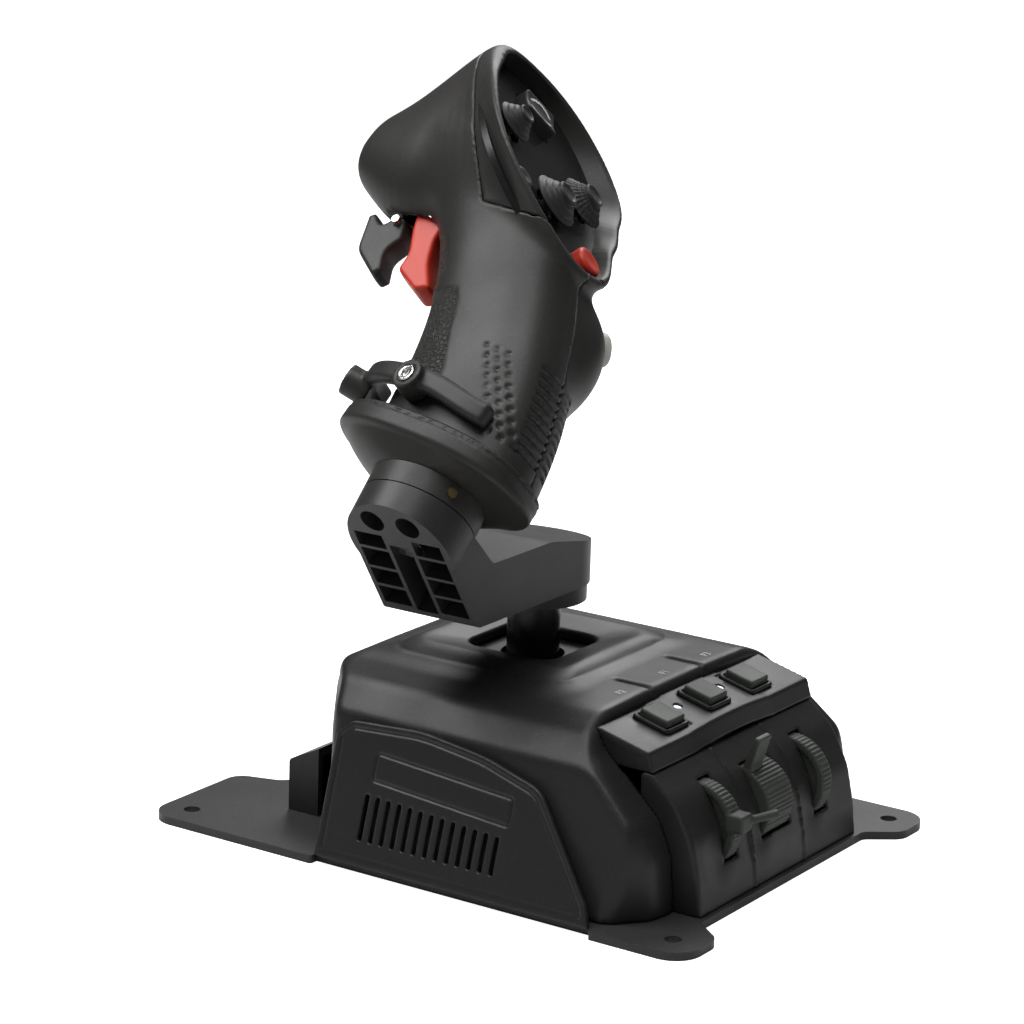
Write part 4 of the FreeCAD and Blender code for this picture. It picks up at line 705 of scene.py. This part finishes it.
# Hollow shell of the grip, open at the face, with its trigger slots and button holes.
def gripShell(x, y, z):
    solid = openForm(x, y, z)
    form = common(solid, faceCoordinates(x, y, z)[2], 2.0)
    shell = cut(form + gripDetail(x, y, z), solid + gripShape["wall"], 0.9)
    for halfX, (midY, halfY), (midZ, halfZ) in gripShape["slots"]:
        slot = np.maximum(np.maximum(np.abs(x) - halfX, np.abs(y - midY) - halfY), np.abs(z - midZ) - halfZ)
        shell = cut(shell, slot, 0.6)
    for name in ("nose_button", "thumb_button"):
        middle = toLocal(grip, sum(box(name)) / 2)
        axis = -grip[:, :3].T @ joints[name + "_press"]["axis"]
        shell = cut(shell, rod(x, y, z, middle - axis * 12, middle + axis * 12, gripShape["buttonHole"]), 0.8)
    return shell


# Negative inside the shoulder band: above its lower seam and behind its side seam.
def bandBorder(y, z):
    return np.maximum(110.5 + 0.12 * y - z, (y - 19 - 0.52 * (z - 111)) * 0.887)


def makeGripShells():
    seam = gripShape["seam"]
    def half(side):
        def form(x, y, z):
            shell = np.maximum(gripShell(x, y, z), seam - side * x)
            shell = np.maximum(shell, seam - bandBorder(y, z))
            return np.maximum(shell, -lipCoordinates(x, y, z)[2] - 1)
        return form

    def band(x, y, z):
        return np.maximum(gripShell(x, y, z), bandBorder(y, z) + seam)

    step = 0.9
    left = formPiece("gripLeft", half(-1), (-38, -42, 18), (0, 105, 200), step, grip, "grip_plastic", "grip",
                     ("grip_left_shell", "head_shell", "head_hood"))
    formPiece("gripRight", half(1), (0, -42, 18), (46, 105, 200), step, grip, "grip_plastic", "grip",
              ("grip_right_shell",))
    formPiece("shoulderBand", band, (-38, -30, 100), (46, 60, 190), step, grip, "grip_plastic", "grip",
              ("shoulder_band",))
    paintPatches(left)


# Leather on the faces inside the patches.
def paintPatches(obj):
    mesh = obj.data
    mesh.materials.append(leatherSkin)
    centres = np.empty(len(mesh.polygons) * 3, np.float32)
    mesh.polygons.foreach_get("center", centres)
    x, y, z = toLocal(grip, centres.reshape(-1, 3) / mm).T
    outer = np.abs(gripForm(x, y, z)) < 1.2
    chosen = np.zeros(len(x), bool)
    for outline in skinPatches.values():
        chosen |= (slab(y, z, outline) < -0.2) & outer & (x < -1)
    mesh.polygons.foreach_set("material_index", chosen.astype(np.int32))


# Grip coordinates to the lip's own: across, along and up from its top.
def lipCoordinates(x, y, z):
    place = makeFrame(toLocal(grip, lip[:, 3]), *(grip[:, :3].T @ lip[:, n] for n in range(3)))
    ox, oy, oz = (v - o for v, o in zip((x, y, z), place[:, 3]))
    return tuple(ox * place[0, n] + oy * place[1, n] + oz * place[2, n] for n in range(3))


makeGripShells()
print("grip shells made")


# Outline whose corners (x, y, radius) are turned into short arcs.
def rounded(points, steps=4):
    result = []
    for i, (x, y, radius) in enumerate(points):
        here = np.array((x, y), float)
        if not radius:
            result.append(here)
            continue
        a = np.array(points[i - 1][:2], float) - here
        b = np.array(points[(i + 1) % len(points)][:2], float) - here
        la, lb = np.linalg.norm(a), np.linalg.norm(b)
        turn = math.acos(float(np.clip(a.dot(b) / la / lb, -1, 1)))
        reach = min(radius / max(math.tan(turn / 2), 1e-3), 0.46 * la, 0.46 * lb)
        start, stop = here + a / la * reach, here + b / lb * reach
        for s in np.linspace(0, 1, steps + 1):
            result.append((1 - s) ** 2 * start + 2 * s * (1 - s) * here + s * s * stop)
    return result


# Outline and thickness joined with a rounded rim.
def thick(edge, depth, rounding):
    a, b = edge + rounding, depth + rounding
    return np.sqrt(np.maximum(a, 0) ** 2 + np.maximum(b, 0) ** 2) + np.minimum(np.maximum(a, b), 0) - rounding


def square(x, y, halfX, halfY, rounding):
    return thick(np.abs(x) - halfX, np.abs(y) - halfY, rounding)


def smoothStep(value):
    value = np.clip(value, 0, 1)
    return value * value * (3 - 2 * value)


# Coordinates turned about the across axis.
def tilted(y, z, origin, degrees):
    c, s = math.cos(math.radians(degrees)), math.sin(math.radians(degrees))
    dy, dz = y - origin[0], z - origin[1]
    return c * dy + s * dz, c * dz - s * dy


lipShape = {"half": (26.5, 39.5), "power": 2.4, "band": 9.0, "neck": 20.3, "neckHeight": 8.5, "slope": 0.158,
            "middle": (1.5, 24.8), "bore": 8.05}

restShape = {"low": 4.6, "height": 8.0, "rise": 3.0, "outer": 1.5, "inner": 3.8,
             # across, along, angle, drop
             "bosses": [(-12.1, 41.4, 118, 1.0), (-27.0, 9.3, 170, -1.5)], "bossRadius": 5.7, "recess": 3.4}


def bowlForm(x, y, z):
    a, b, h = lipCoordinates(x, y, z)
    halfX, halfY = lipShape["half"]
    halfBand = lipShape["band"] / 2
    band = thick(oval(a, b, halfX, halfY, lipShape["power"]), np.abs(h + halfBand) - halfBand, 1.8)
    underside = lipShape["middle"][1] - lipShape["band"] + (y - lipShape["middle"][0]) * lipShape["slope"]
    foot = lipShape["neckHeight"]
    share = np.clip((z - foot) / np.maximum(underside - foot, 0.5), 0, 1)
    swell = share ** 0.85
    neck = lipShape["neck"]
    under = oval(x, y - 1.5 * swell, neck + (halfX - 1.2 - neck) * swell, neck + (halfY - 1.2 - neck) * swell, 2.2)
    under = np.maximum(np.maximum(under, foot - z), z - underside - 2)
    form = joined(band, under, 1.2)
    line = np.abs(h + 1.9) - 0.45
    form = form + 0.5 * np.clip(0.5 - line / 0.5, 0, 1)
    return np.maximum(form, lipShape["bore"] - np.hypot(x, y))


def restForm(x, y, z):
    a, b, h = lipCoordinates(x, y, z)
    halfX, halfY = lipShape["half"]
    lift = restShape["rise"] * smoothStep((b + 22) / 26)
    height = h - (restShape["low"] + restShape["height"] / 2 + lift)
    ring = np.maximum(oval(a, b, halfX + restShape["outer"], halfY + restShape["outer"], 2.4),
                      -oval(a, b, halfX - restShape["inner"], halfY - restShape["inner"], 2.4))
    form = thick(ring, np.abs(height) - restShape["height"] / 2, 1.9)
    form = common(form, np.maximum(a - 2, -24 - b), 2.0)
    for across, along, angle, drop in restShape["bosses"]:
        way = np.array((math.cos(math.radians(angle)), math.sin(math.radians(angle)), 0))
        foot = np.array((across, along, restShape["low"] + restShape["height"] / 2 - drop)) - way * 7
        form = joined(form, rod(a, b, h, foot, foot + way * 10, restShape["bossRadius"]), 1.2)
        form = cut(form, rod(a, b, h, foot + way * 8, foot + way * 12, restShape["recess"]), 0.3)
    return np.maximum(form, 0.6 - gripForm(x, y, z))


formPiece("lipBowl", bowlForm, (-28, -39, 6), (28, 43, 33), 0.8, grip, "grip_plastic", "grip", ("grip_flange",))
formPiece("handRest", restForm, (-30, -26, 22), (4, 50, 48), 0.7, grip, "grip_plastic", "hand_rest", ("hand_rest",))


# Bright ring screws in the bosses, each with a round socket.
def makeRestScrews(shape):
    def form(x, y, z):
        a, b, h = lipCoordinates(x, y, z)
        heads = 1e3
        for across, along, angle, drop in shape["bosses"]:
            way = np.array((math.cos(math.radians(angle)), math.sin(math.radians(angle)), 0))
            foot = np.array((across, along, shape["low"] + shape["height"] / 2 - drop)) - way * 7
            head = rod(a, b, h, foot + way * 7.5, foot + way * 10.4, 3.2)
            heads = np.minimum(heads, cut(head, rod(a, b, h, foot + way * 9.2, foot + way * 12, 1.7), 0.5))
        return heads
    formPiece("restScrews", form, (-38, -2, 26), (-4, 54, 44), 0.4, grip, "screw_steel", "hand_rest",
              ("hand_rest_screws",))


makeRestScrews(restShape)
print("lip and hand rest made")


triggerShape = {
    # y, height, corner radius
    "trigger": [(44, 112, 2), (46, 119, 2), (54, 120, 2), (58.5, 117, 2), (56.5, 108, 8), (53, 98, 8), (54, 91, 3),
                (43, 83.5, 3), (37, 85.5, 1.5), (43, 96, 20), (45, 105, 8)],
    "flip_trigger": [(60.5, 109, 2), (62, 113.2, 1.5), (67, 113, 2), (70.5, 108.5, 4), (75.5, 113.5, 0.8),
                     (78, 112, 0.8), (75.5, 97, 8), (64, 87.5, 1.5), (61, 90, 1.5), (63.5, 98, 6), (59.5, 104, 2)],
    "half": {"trigger": 6.0, "flip_trigger": 5.0},
    "pins": {"trigger": (49, 114), "flip_trigger": (64, 110.5)},
}


def bladeForm(name):
    outline = rounded(triggerShape[name])
    half = triggerShape["half"][name]
    py, pz = triggerShape["pins"][name]

    def form(x, y, z):
        lean = 0.35 * (x / half) ** 2
        body = thick(slab(y, z, outline) + lean, np.abs(x) - half, 1.3)
        return np.maximum(body, 1.55 - np.hypot(y - py, z - pz))
    return form


formPiece("trigger", bladeForm("trigger"), (-6, 36, 83), (6, 59, 121), 0.5, grip, "red_plastic", "trigger",
          ("trigger",))
formPiece("flipTrigger", bladeForm("flip_trigger"), (-5, 59, 87), (5, 79, 114), 0.5, grip, "grip_plastic",
          "flip_trigger", ("flip_trigger",))

# radius, height
buttonProfile = [(0, -8.2), (7.4, -8.2), (7.4, -6.9), (6.2, -6.9), (6.2, 1.6), (5.9, 2.6), (5.0, 3.4), (3.4, 3.9),
                 (0, 4.0)]


def turnedForm(profile, extra=None):
    mirrored = list(profile) + [(-r, h) for r, h in reversed(profile) if r > 0]

    def form(x, y, z):
        body = slab(np.hypot(x, y), z, mirrored)
        return extra(x, y, z, body) if extra else body
    return form


# Frame whose third axis is the given one; origin and axis are in the world.
def axisFrame(origin, axis):
    axis = unit(axis)
    side = unit(np.cross((0, 1, 0) if abs(axis[1]) < 0.9 else (1, 0, 0), axis))
    return makeFrame(origin, side, np.cross(axis, side), axis)


thumbAxis = grip[:, :3] @ unit((0.6, -0.65, 0.45))
noseAxis = grip[:, :3] @ unit((0, 0.975, 0.222))
thumbPlace = axisFrame(toWorld(grip, (25.5, -17.5, 90.5)), thumbAxis)
nosePlace = axisFrame(toWorld(grip, (0, 92.0, 141.5)), noseAxis)
formPiece("noseButton", turnedForm(buttonProfile), (-7.5, -7.5, -8.5), (7.5, 7.5, 4.1), 0.45, nosePlace, "light_button",
          "nose_button", ("nose_button",))
formPiece("thumbButton", turnedForm(buttonProfile), (-7.5, -7.5, -8.5), (7.5, 7.5, 4.1), 0.45, thumbPlace,
          "light_button", "thumb_button", ("thumb_button",))


hatShape = {
    # across, up, cap radius, knurl depth
    "upper_hat": (-21.0, -3.0, 8.0, 0.0),
    "lower_hat": (0.5, -27.0, 10.3, 0.0),
    "mini_stick": (19.5, -9.0, 10.3, 0.35),
}
panelDepth = 7.0
hatLift = 3.4


def hatForm(radius, knurl):
    steps = [(0, -2), (3, -2), (3, 6), (radius - 0.9, 6), (radius, 6.5), (radius, 7.1), (radius * 0.8, 8.0),
             (radius * 0.78, 8.8), (radius * 0.62, 9.6), (radius * 0.6, 10.4), (radius * 0.46, 11.0),
             (radius * 0.45, 12.5), (radius * 0.38, 12.8), (radius * 0.3, 12.2), (0, 12.0)]

    def form(x, y, z):
        away = np.hypot(x, y)
        turn = np.arctan2(y, x)
        ripple = knurl * (0.5 + 0.5 * np.cos(turn * 28)) * (z > 6.2) * (z < 11.2)
        body = slab(away, z, steps + [(-r, h) for r, h in reversed(steps) if r > 0]) + ripple
        return np.minimum(body, rod(x, y, z, (0, -4.9, 0), (0, 4.9, 0), 0.75))
    return form


for hat, (u, v, radius, knurl) in hatShape.items():
    place = makeFrame(toWorld(face, (u, v, -panelDepth - hatLift)), *face[:, :3].T)
    formPiece(hat + "Cap", hatForm(radius, knurl), (-radius, -radius, -2), (radius, radius, 12.9), 0.42, place,
              "cap_plastic", hat, (hat + "_cap",))

rockerShape = {"place": (-3.0, 21.0), "half": (8.5, 5.5), "top": 5.0, "crescent": (3.9, 0.8)}


def rockerForm(x, y, z):
    saddle = z - (rockerShape["top"] - 0.9 + 0.035 * y * y)
    body = common(square(x, y, *rockerShape["half"], 1.6), np.maximum(saddle, -2.5 - z), 0.8)
    root = bar(x, y, z + 3, (3, 2, 2))
    pin = rod(x, y, z, (-10.5, 0, -3.8), (10.5, 0, -3.8), 1.2)
    return np.minimum(np.minimum(body, root), pin)


def makeRocker():
    place = makeFrame(toWorld(face, (*rockerShape["place"], -panelDepth)), *face[:, :3].T)
    obj = formPiece("rocker", rockerForm, (-11, -6, -5), (11, 6, 5.2), 0.4, place, "cap_plastic", "rocker_switch",
                    ("rocker_switch",))
    obj.data.materials.append(labelInk)
    centres = np.empty(len(obj.data.polygons) * 3, np.float32)
    obj.data.polygons.foreach_get("center", centres)
    x, y, z = toLocal(place, centres.reshape(-1, 3) / mm).T
    reach, width = rockerShape["crescent"]
    ring = np.abs(np.hypot(x * 0.62, y) - reach) < width / 2
    marked = ring & (np.abs(y) > 1.6) & (z > 2.8)
    obj.data.polygons.foreach_set("material_index", marked.astype(np.int32))


makeRocker()

for name, u, v, radius, slot in (("recess_button", -19.0, -33.0, 4.6, "cap_plastic"),
                                 ("red_button", 19.0, -43.0, 6.0, "red_plastic")):
    profile = [(0, -3.7), (radius + 1.2, -3.7), (radius + 1.2, -2.5), (radius, -2.5), (radius, 3.0),
               (radius - 0.5, 3.7), (radius - 1.6, 4.0), (0, 3.5)]
    place = makeFrame(toWorld(face, (u, v, -panelDepth)), *face[:, :3].T)
    formPiece(name.replace("_b", "B"), turnedForm(profile), (-radius - 1.3, -radius - 1.3, -3.8),
              (radius + 1.3, radius + 1.3, 4.1), 0.4, place, slot, name, (name,))
print("grip controls made")


housingShape = {
    "foot": 3.0,
    "top": 67.0,
    "wall": 2.6,
    # half width, height, corner radius
    "across": [(83.0, -12, 0), (68.6, 51, 8), (59, 61, 14), (47, 65.8, 22), (20, 67, 30)],
    # y, height, corner radius
    "along": [(-96, -12, 0), (-95.8, 3, 0), (-93.5, 22, 20), (-88, 35, 18), (-77, 45, 25), (-66, 54.5, 14),
              (-62, 62, 4), (-60.5, 67, 4), (46, 67, 16), (55, 53, 18), (60, 32, 10), (60, -12, 0)],
    # half width, y, corner radius
    "plan": [(56.5, -96, 6), (66, -94, 10), (78, -84, 8), (83.9, -79, 4), (83.9, 31, 8), (58, 42, 16), (46, 52, 14),
             (40, 60, 9)],
    "rim": {"foot": (47, 42), "crest": 32.0, "rise": 2.8, "corner": 11, "well": 18.5, "wellCorner": 8, "wellDepth": 9},
    "port": (49, 50, 18),   # half width, rear edge, height
    "opening": (54.3, -61.7),
    "slits": {"x": 17, "spans": [(-64, -45), (43, 50)], "half": 0.65, "depth": 1.4},
}


def bothSides(points):
    return list(points) + [(-x, *rest) for x, *rest in reversed(points)]


housingAcross = rounded(bothSides(housingShape["across"]))
housingAlong = rounded(housingShape["along"])
housingPlan = rounded(bothSides(housingShape["plan"]))


# Outer form of the housing without its rim, open downwards.
def housingForm(x, y, z):
    side = slab(x, z, housingAcross) * 0.98
    form = common(side, slab(y, z, housingAlong), 3.5)
    return common(form, slab(x, y, housingPlan) * 0.97, 3.5)


def housingShell(x, y, z):
    rim = housingShape["rim"]
    deck = housingShape["top"]
    crest = deck + rim["rise"]
    body = housingForm(x, y, z)
    rise = np.clip((z - deck + 2.6) / (rim["rise"] + 2.6), 0, 1)
    reachX = rim["foot"][0] + (rim["crest"] - rim["foot"][0]) * rise
    reachY = rim["foot"][1] + (rim["crest"] - rim["foot"][1]) * rise
    around = thick(np.abs(x) - reachX, np.abs(y) - reachY, rim["corner"]) * 0.42
    around = common(around, np.abs(z - (deck + crest) / 2) - rim["rise"] / 2 - 3 + 3 * (z > deck), 1.4)
    form = joined(body, around, 2.2)
    shell = np.maximum(form, -body - housingShape["wall"])
    shell = np.maximum(shell, housingShape["foot"] - z)
    share = np.clip((z - deck - 0.3) / (rim["rise"] - 0.3), 0, 1)
    reach = rim["well"] + (rim["crest"] - 1.5 - rim["well"]) * share
    dish = np.maximum(thick(np.abs(x) - reach, np.abs(y) - reach, rim["wellCorner"]) * 0.3, deck + 0.3 - z)
    shell = cut(shell, dish, 0.8)
    well = thick(np.abs(x) - rim["well"], np.abs(y) - rim["well"], rim["wellCorner"])
    well = np.maximum(well, deck - rim["wellDepth"] - z)
    shell = cut(shell, well, 0.6)
    openX, openY = housingShape["opening"]
    shell = np.maximum(shell, -np.maximum(np.abs(x) - openX, y - openY))
    slits = housingShape["slits"]
    for low, high in slits["spans"]:
        slit = square(np.abs(x) - slits["x"], y - (low + high) / 2, slits["half"], (high - low) / 2, 0.5)
        shell = cut(shell, np.maximum(slit, -body - slits["depth"]), 0.3)
    halfPort, rearPort, topPort = housingShape["port"]
    port = np.maximum(np.maximum(np.abs(x) - halfPort, rearPort - y), z - topPort)
    return np.maximum(shell, -port)


formPiece("baseHousing", housingShell, (-84, -96, 3), (84, 60, 70), 1.25, world, "housing_plastic", "base",
          ("base_upper_shell",))


sideShape = {
    "lean": 0.3,
    "halfWidth": 86.6,
    "thick": 2.4,
    # y, height, corner radius
    "outline": [(32.5, 3.1, 0), (32.5, 45, 3), (26.8, 50, 4), (-2.6, 51.7, 60), (-28.7, 48.7, 60), (-52.5, 42.5, 12),
                (-77.8, 10.2, 4), (-80.6, 3.1, 0)],
    "slots": {"count": 13, "first": 15.0, "pitch": -4.55, "half": 0.9, "low": 12.0, "high": 28.5, "fall": -0.25},
    "label": [(-43, 29.5, 1.2), (14, 33.5, 1.2), (14, 43, 1.2), (-43, 39, 1.2)],
    "ridge": {"inset": 2.6, "half": 0.45, "depth": 0.5},
}


# Panel lying flat: w inwards, v up its slope.
def panelForm(w, y, v):
    edge = slab(y, v, sideOutline)
    body = thick(edge, np.abs(w - sideShape["thick"] / 2) - sideShape["thick"] / 2, 0.7)
    ridge = sideShape["ridge"]
    line = np.abs(edge + ridge["inset"]) - ridge["half"]
    front = (w < 1) & (v > 6)
    body = body + ridge["depth"] * np.clip(0.5 - line / 0.5, 0, 1) * front
    label = np.abs(slab(y, v, sideLabel)) - 0.5
    body = body + 0.5 * np.clip(0.5 - label / 0.5, 0, 1) * front
    slots = sideShape["slots"]
    for i in range(slots["count"]):
        middle = slots["first"] + i * slots["pitch"]
        high = slots["high"] + i * slots["fall"]
        hole = square(y - middle, v - (slots["low"] + high) / 2, slots["half"], (high - slots["low"]) / 2, 0.85)
        body = cut(body, hole, 0.4)
    return body


lean = math.atan(sideShape["lean"])
sideOutline = rounded([(y, z / math.cos(lean), r) for y, z, r in sideShape["outline"]])
sideLabel = rounded(sideShape["label"])
for side, name in ((-1, "left"), (1, "right")):
    inward = np.array((-side * math.cos(lean), 0, -math.sin(lean)))
    upward = np.array((-side * math.sin(lean), 0, math.cos(lean)))
    place = makeFrame((side * sideShape["halfWidth"], 0, 0), inward, (0, 1, 0), upward)
    points, quads = skinOf(panelForm, (0, -81, 3), (2.4, 33, 55), 0.62)
    if side > 0:
        quads = quads[:, ::-1]
    addPiece(name + "SidePanel", points, quads, place, "housing_plastic", "base", (name + "_side_panel",))
print("housing and side panels made")


wheelShape = {
    "y": -89.8, "z": 27.3,
    # name: x, radius, half width
    "wheels": {"lever_wheel": (-31.0, 15.8, 3.2), "paddle_wheel": (0.0, 14.8, 8.5), "encoder_wheel": (31.0, 15.8, 3.2)},
    "ribs": 60, "ribDepth": 0.45,
    "profile": [(-70, -6, 0), (-70, 49.5, 0), (-84, 49.5, 2), (-94.3, 40.7, 22), (-101, 28, 22), (-104, 14.7, 22),
                (-105.2, 3, 0), (-105.8, -6, 0)],
    "half": 54.0, "wall": 2.2, "gap": 0.7, "ribX": 17,
    # hollow beside each wheel: past the wheel's side, y, height, radii
    "dish": (5, -107, 27, (9.5, 5.5, 15)),
}
panelOutline = rounded(wheelShape["profile"])


def wheelPanelForm(x, y, z):
    front = slab(y, z, panelOutline)
    for px, radius, half in wheelShape["wheels"].values():
        past, dishY, dishZ, (rx, ry, rz) = wheelShape["dish"]
        dish = np.sqrt(((x - px + half + past) / rx) ** 2 + ((y - dishY) / ry) ** 2 + ((z - dishZ) / rz) ** 2) - 1
        front = cut(front, dish * 4.5, 2.0)
    outer = thick(front, np.abs(x) - wheelShape["half"], 1.0)
    rib = np.maximum(np.abs(np.abs(x) - wheelShape["ribX"]) - 0.5, slab(y, z, panelOutline) - 0.6)
    inner = np.maximum(front + wheelShape["wall"], np.abs(x) - wheelShape["half"] + wheelShape["wall"])
    shell = np.maximum(joined(outer, rib, 0.5), -inner)
    for px, radius, half in wheelShape["wheels"].values():
        gap = wheelShape["gap"]
        away = np.hypot(y - wheelShape["y"], z - wheelShape["z"])
        hole = np.maximum(away - radius - gap, np.abs(x - px) - half - gap)
        shell = cut(shell, hole, 0.5)
    shell = np.maximum(shell, np.maximum(3.05 - z, z - 49.45))
    return np.maximum(shell, y + 80)


formPiece("wheelPanel", wheelPanelForm, (-54, -107, 3), (54, -80, 49.5), 0.9, world, "housing_plastic", "base",
          ("front_wheel_panel",))


def wheelForm(name):
    px, radius, half = wheelShape["wheels"][name]

    def form(x, y, z):
        ly, lz = y - wheelShape["y"], z - wheelShape["z"]
        away = np.hypot(ly, lz)
        ripple = wheelShape["ribDepth"] * np.abs(np.sin(np.arctan2(lz, ly) * wheelShape["ribs"] / 2))
        body = thick(away - radius + ripple, np.abs(x - px) - half, 0.8)
        hollow = np.maximum(np.abs(away - radius * 0.55) - radius * 0.25, 1.2 - np.abs(x - px) + half - 2.4)
        if name != "paddle_wheel":
            body = cut(body, hollow, 0.4)
        if name == "lever_wheel":
            block = bar(x - px, ly + 15.4, lz - 3.6, (3.6, 3.4, 3.2), 1.0)
            start = np.array((px + 2, wheelShape["y"] - 16.8, wheelShape["z"] + 3.6))
            pin = rod(x, y, z, start, start + 12 * unit((0.80, -0.58, 0.15)), 1.5)
            body = joined(joined(body, block, 1.0), pin, 0.6)
        if name == "paddle_wheel":
            c, s = math.cos(math.radians(18)), math.sin(math.radians(18))
            py, pz = c * ly + s * lz, c * lz - s * ly
            blade = bar(x + 4.2, py + 0.0, pz - 13.5, (4.2, 1.6 - 0.03 * np.clip(pz - 14, 0, 13), 13.5), 0.7)
            body = joined(body, blade, 1.2)
        return np.maximum(body, 2.05 - away)
    return form


for name, (px, radius, half) in wheelShape["wheels"].items():
    low = [px - half, wheelShape["y"] - radius, wheelShape["z"] - radius]
    high = [px + half, wheelShape["y"] + radius, wheelShape["z"] + radius]
    if name == "lever_wheel":
        low, high = [px - 4, -116, low[2]], [px + 13, high[1], high[2]]
    if name == "paddle_wheel":
        high[2] = 56
    formPiece(name.split("_")[0] + "Wheel", wheelForm(name), low, high, 0.5, world, "control_grey", name, (name,))

stripShape = {
    # y, height, corner radius
    "profile": [(-61.7, 61.6, 0), (-82.5, 56.5, 1.5), (-84.6, 49.8, 0), (-82.2, 49.8, 0), (-80.6, 54.2, 0),
                (-61.7, 58.8, 0)],
    "cheek": [(-61.7, 61.6, 0), (-82.5, 56.5, 1.5), (-84.6, 49.8, 0), (-61.7, 49.8, 0)],
    "half": 54.0, "arch": 1.2, "pitch": 28.5, "y": -71.3, "z": 59.0, "tilt": 14,
    "key": 5.8, "gap": 0.4, "bezel": 7.8, "rise": 4.2,
}
stripOutline, cheekOutline = rounded(stripShape["profile"]), rounded(stripShape["cheek"])


# Coordinates on one function button: across, along, up.
def keyCoordinates(number, x, y, z):
    rise = stripShape["arch"] if number == 2 else 0.0
    b, h = tilted(y, z, (stripShape["y"], stripShape["z"] + rise), stripShape["tilt"])
    return x - (number - 2) * stripShape["pitch"], b, h


def stripForm(x, y, z):
    arch = stripShape["arch"] * np.clip(1 - (x / 27.0) ** 2, 0, 1)
    body = thick(slab(y, z - arch, stripOutline), np.abs(x) - stripShape["half"], 0.5)
    cheek = np.maximum(slab(y, z, cheekOutline), np.abs(np.abs(x) - 52.6) - 1.3)
    body = np.minimum(body, cheek)
    for number in (1, 2, 3):
        a, b, h = keyCoordinates(number, x, y, z)
        pad = bar(a, b, h + 1.3, (8, 8, 1.3), 0.4)
        body = np.minimum(body, pad)
        body = np.maximum(body, -bar(a, b, h - 3.1, (8.1, 8.1, 3.1)))
        hole = stripShape["key"] + stripShape["gap"]
        body = np.maximum(body, -bar(a, b, h, (hole, hole, 8)))
    for sx in (-1, 1):
        b, h = tilted(y, z, (stripShape["y"] + 2, stripShape["z"] + 0.6), stripShape["tilt"])
        body = np.maximum(body, -np.maximum(np.hypot(x - sx * stripShape["pitch"] / 2, b) - 1.55, np.abs(h) - 6))
    return body


formPiece("buttonStrip", stripForm, (-54, -85, 49.5), (54, -61.5, 63.5), 0.6, world, "housing_plastic", "base",
          ("button_strip",))


def bezelForm(x, y, z):
    form = 1e3
    for number in (1, 2, 3):
        a, b, h = keyCoordinates(number, x, y, z)
        inner = stripShape["key"] + stripShape["gap"]
        outer = square(a, b, stripShape["bezel"], stripShape["bezel"], 2.2) + 0.3 * np.clip(h, 0, 2)
        ring = np.maximum(outer, -square(a, b, inner, inner, 1.0))
        form = np.minimum(form, common(ring, np.abs(h - 0.82) - 0.8, 0.5))
    return form


formPiece("bezels", bezelForm, (-37, -80, 55), (37, -62, 64), 0.4, world, "bezel_rubber", "base", ("button_bezels",))

for number in (1, 2, 3):
    def keyForm(x, y, z, number=number):
        a, b, h = keyCoordinates(number, x, y, z)
        dish = 0.012 * (a * a + b * b)
        return bar(a, b, h - 0.4 + 0.35 - dish * 0.4, (stripShape["key"], stripShape["key"], 3.75), 0.9)
    px = (number - 2) * stripShape["pitch"]
    formPiece(f"functionKey{number}", keyForm, (px - 6, -78.5, 53), (px + 6, -64, 66), 0.4, world, "control_grey",
              f"function_{number}", (f"function_button_{number}",))
print("front controls made")


def deckHeight(x, y):
    low, high = 60.0, 69.0
    for _ in range(24):
        middle = (low + high) / 2
        if housingForm(np.array(x), np.array(y), np.array(middle)) < 0:
            low = middle
        else:
            high = middle
    return low


# Thin raised letters on the deck.
def makeLabel(text, x, y, size):
    curve = bpy.data.curves.new("label" + text, "FONT")
    curve.body = text
    curve.size = size * mm
    curve.extrude = 0.05 * mm
    curve.align_x = "CENTER"
    curve.align_y = "CENTER"
    draft = bpy.data.objects.new("labelDraft", curve)
    bpy.context.scene.collection.objects.link(draft)
    mesh = bpy.data.meshes.new_from_object(draft.evaluated_get(bpy.context.evaluated_depsgraph_get()))
    bpy.data.objects.remove(draft)
    mesh.transform(Matrix.Translation(Vector((x, y, deckHeight(x, y) + 0.08)) * mm))
    mesh.name = "label" + text
    mesh.materials.clear()
    mesh.materials.append(labelInk)
    obj = bpy.data.objects.new("label" + text, mesh)
    bpy.context.scene.collection.objects.link(obj)
    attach(obj, "base")


labels = {"F2": -28.5, "F1": 0.0, "F3": 28.5}
for text, x in labels.items():
    makeLabel(text, x, -55.0, 4.2)
print("labels made")
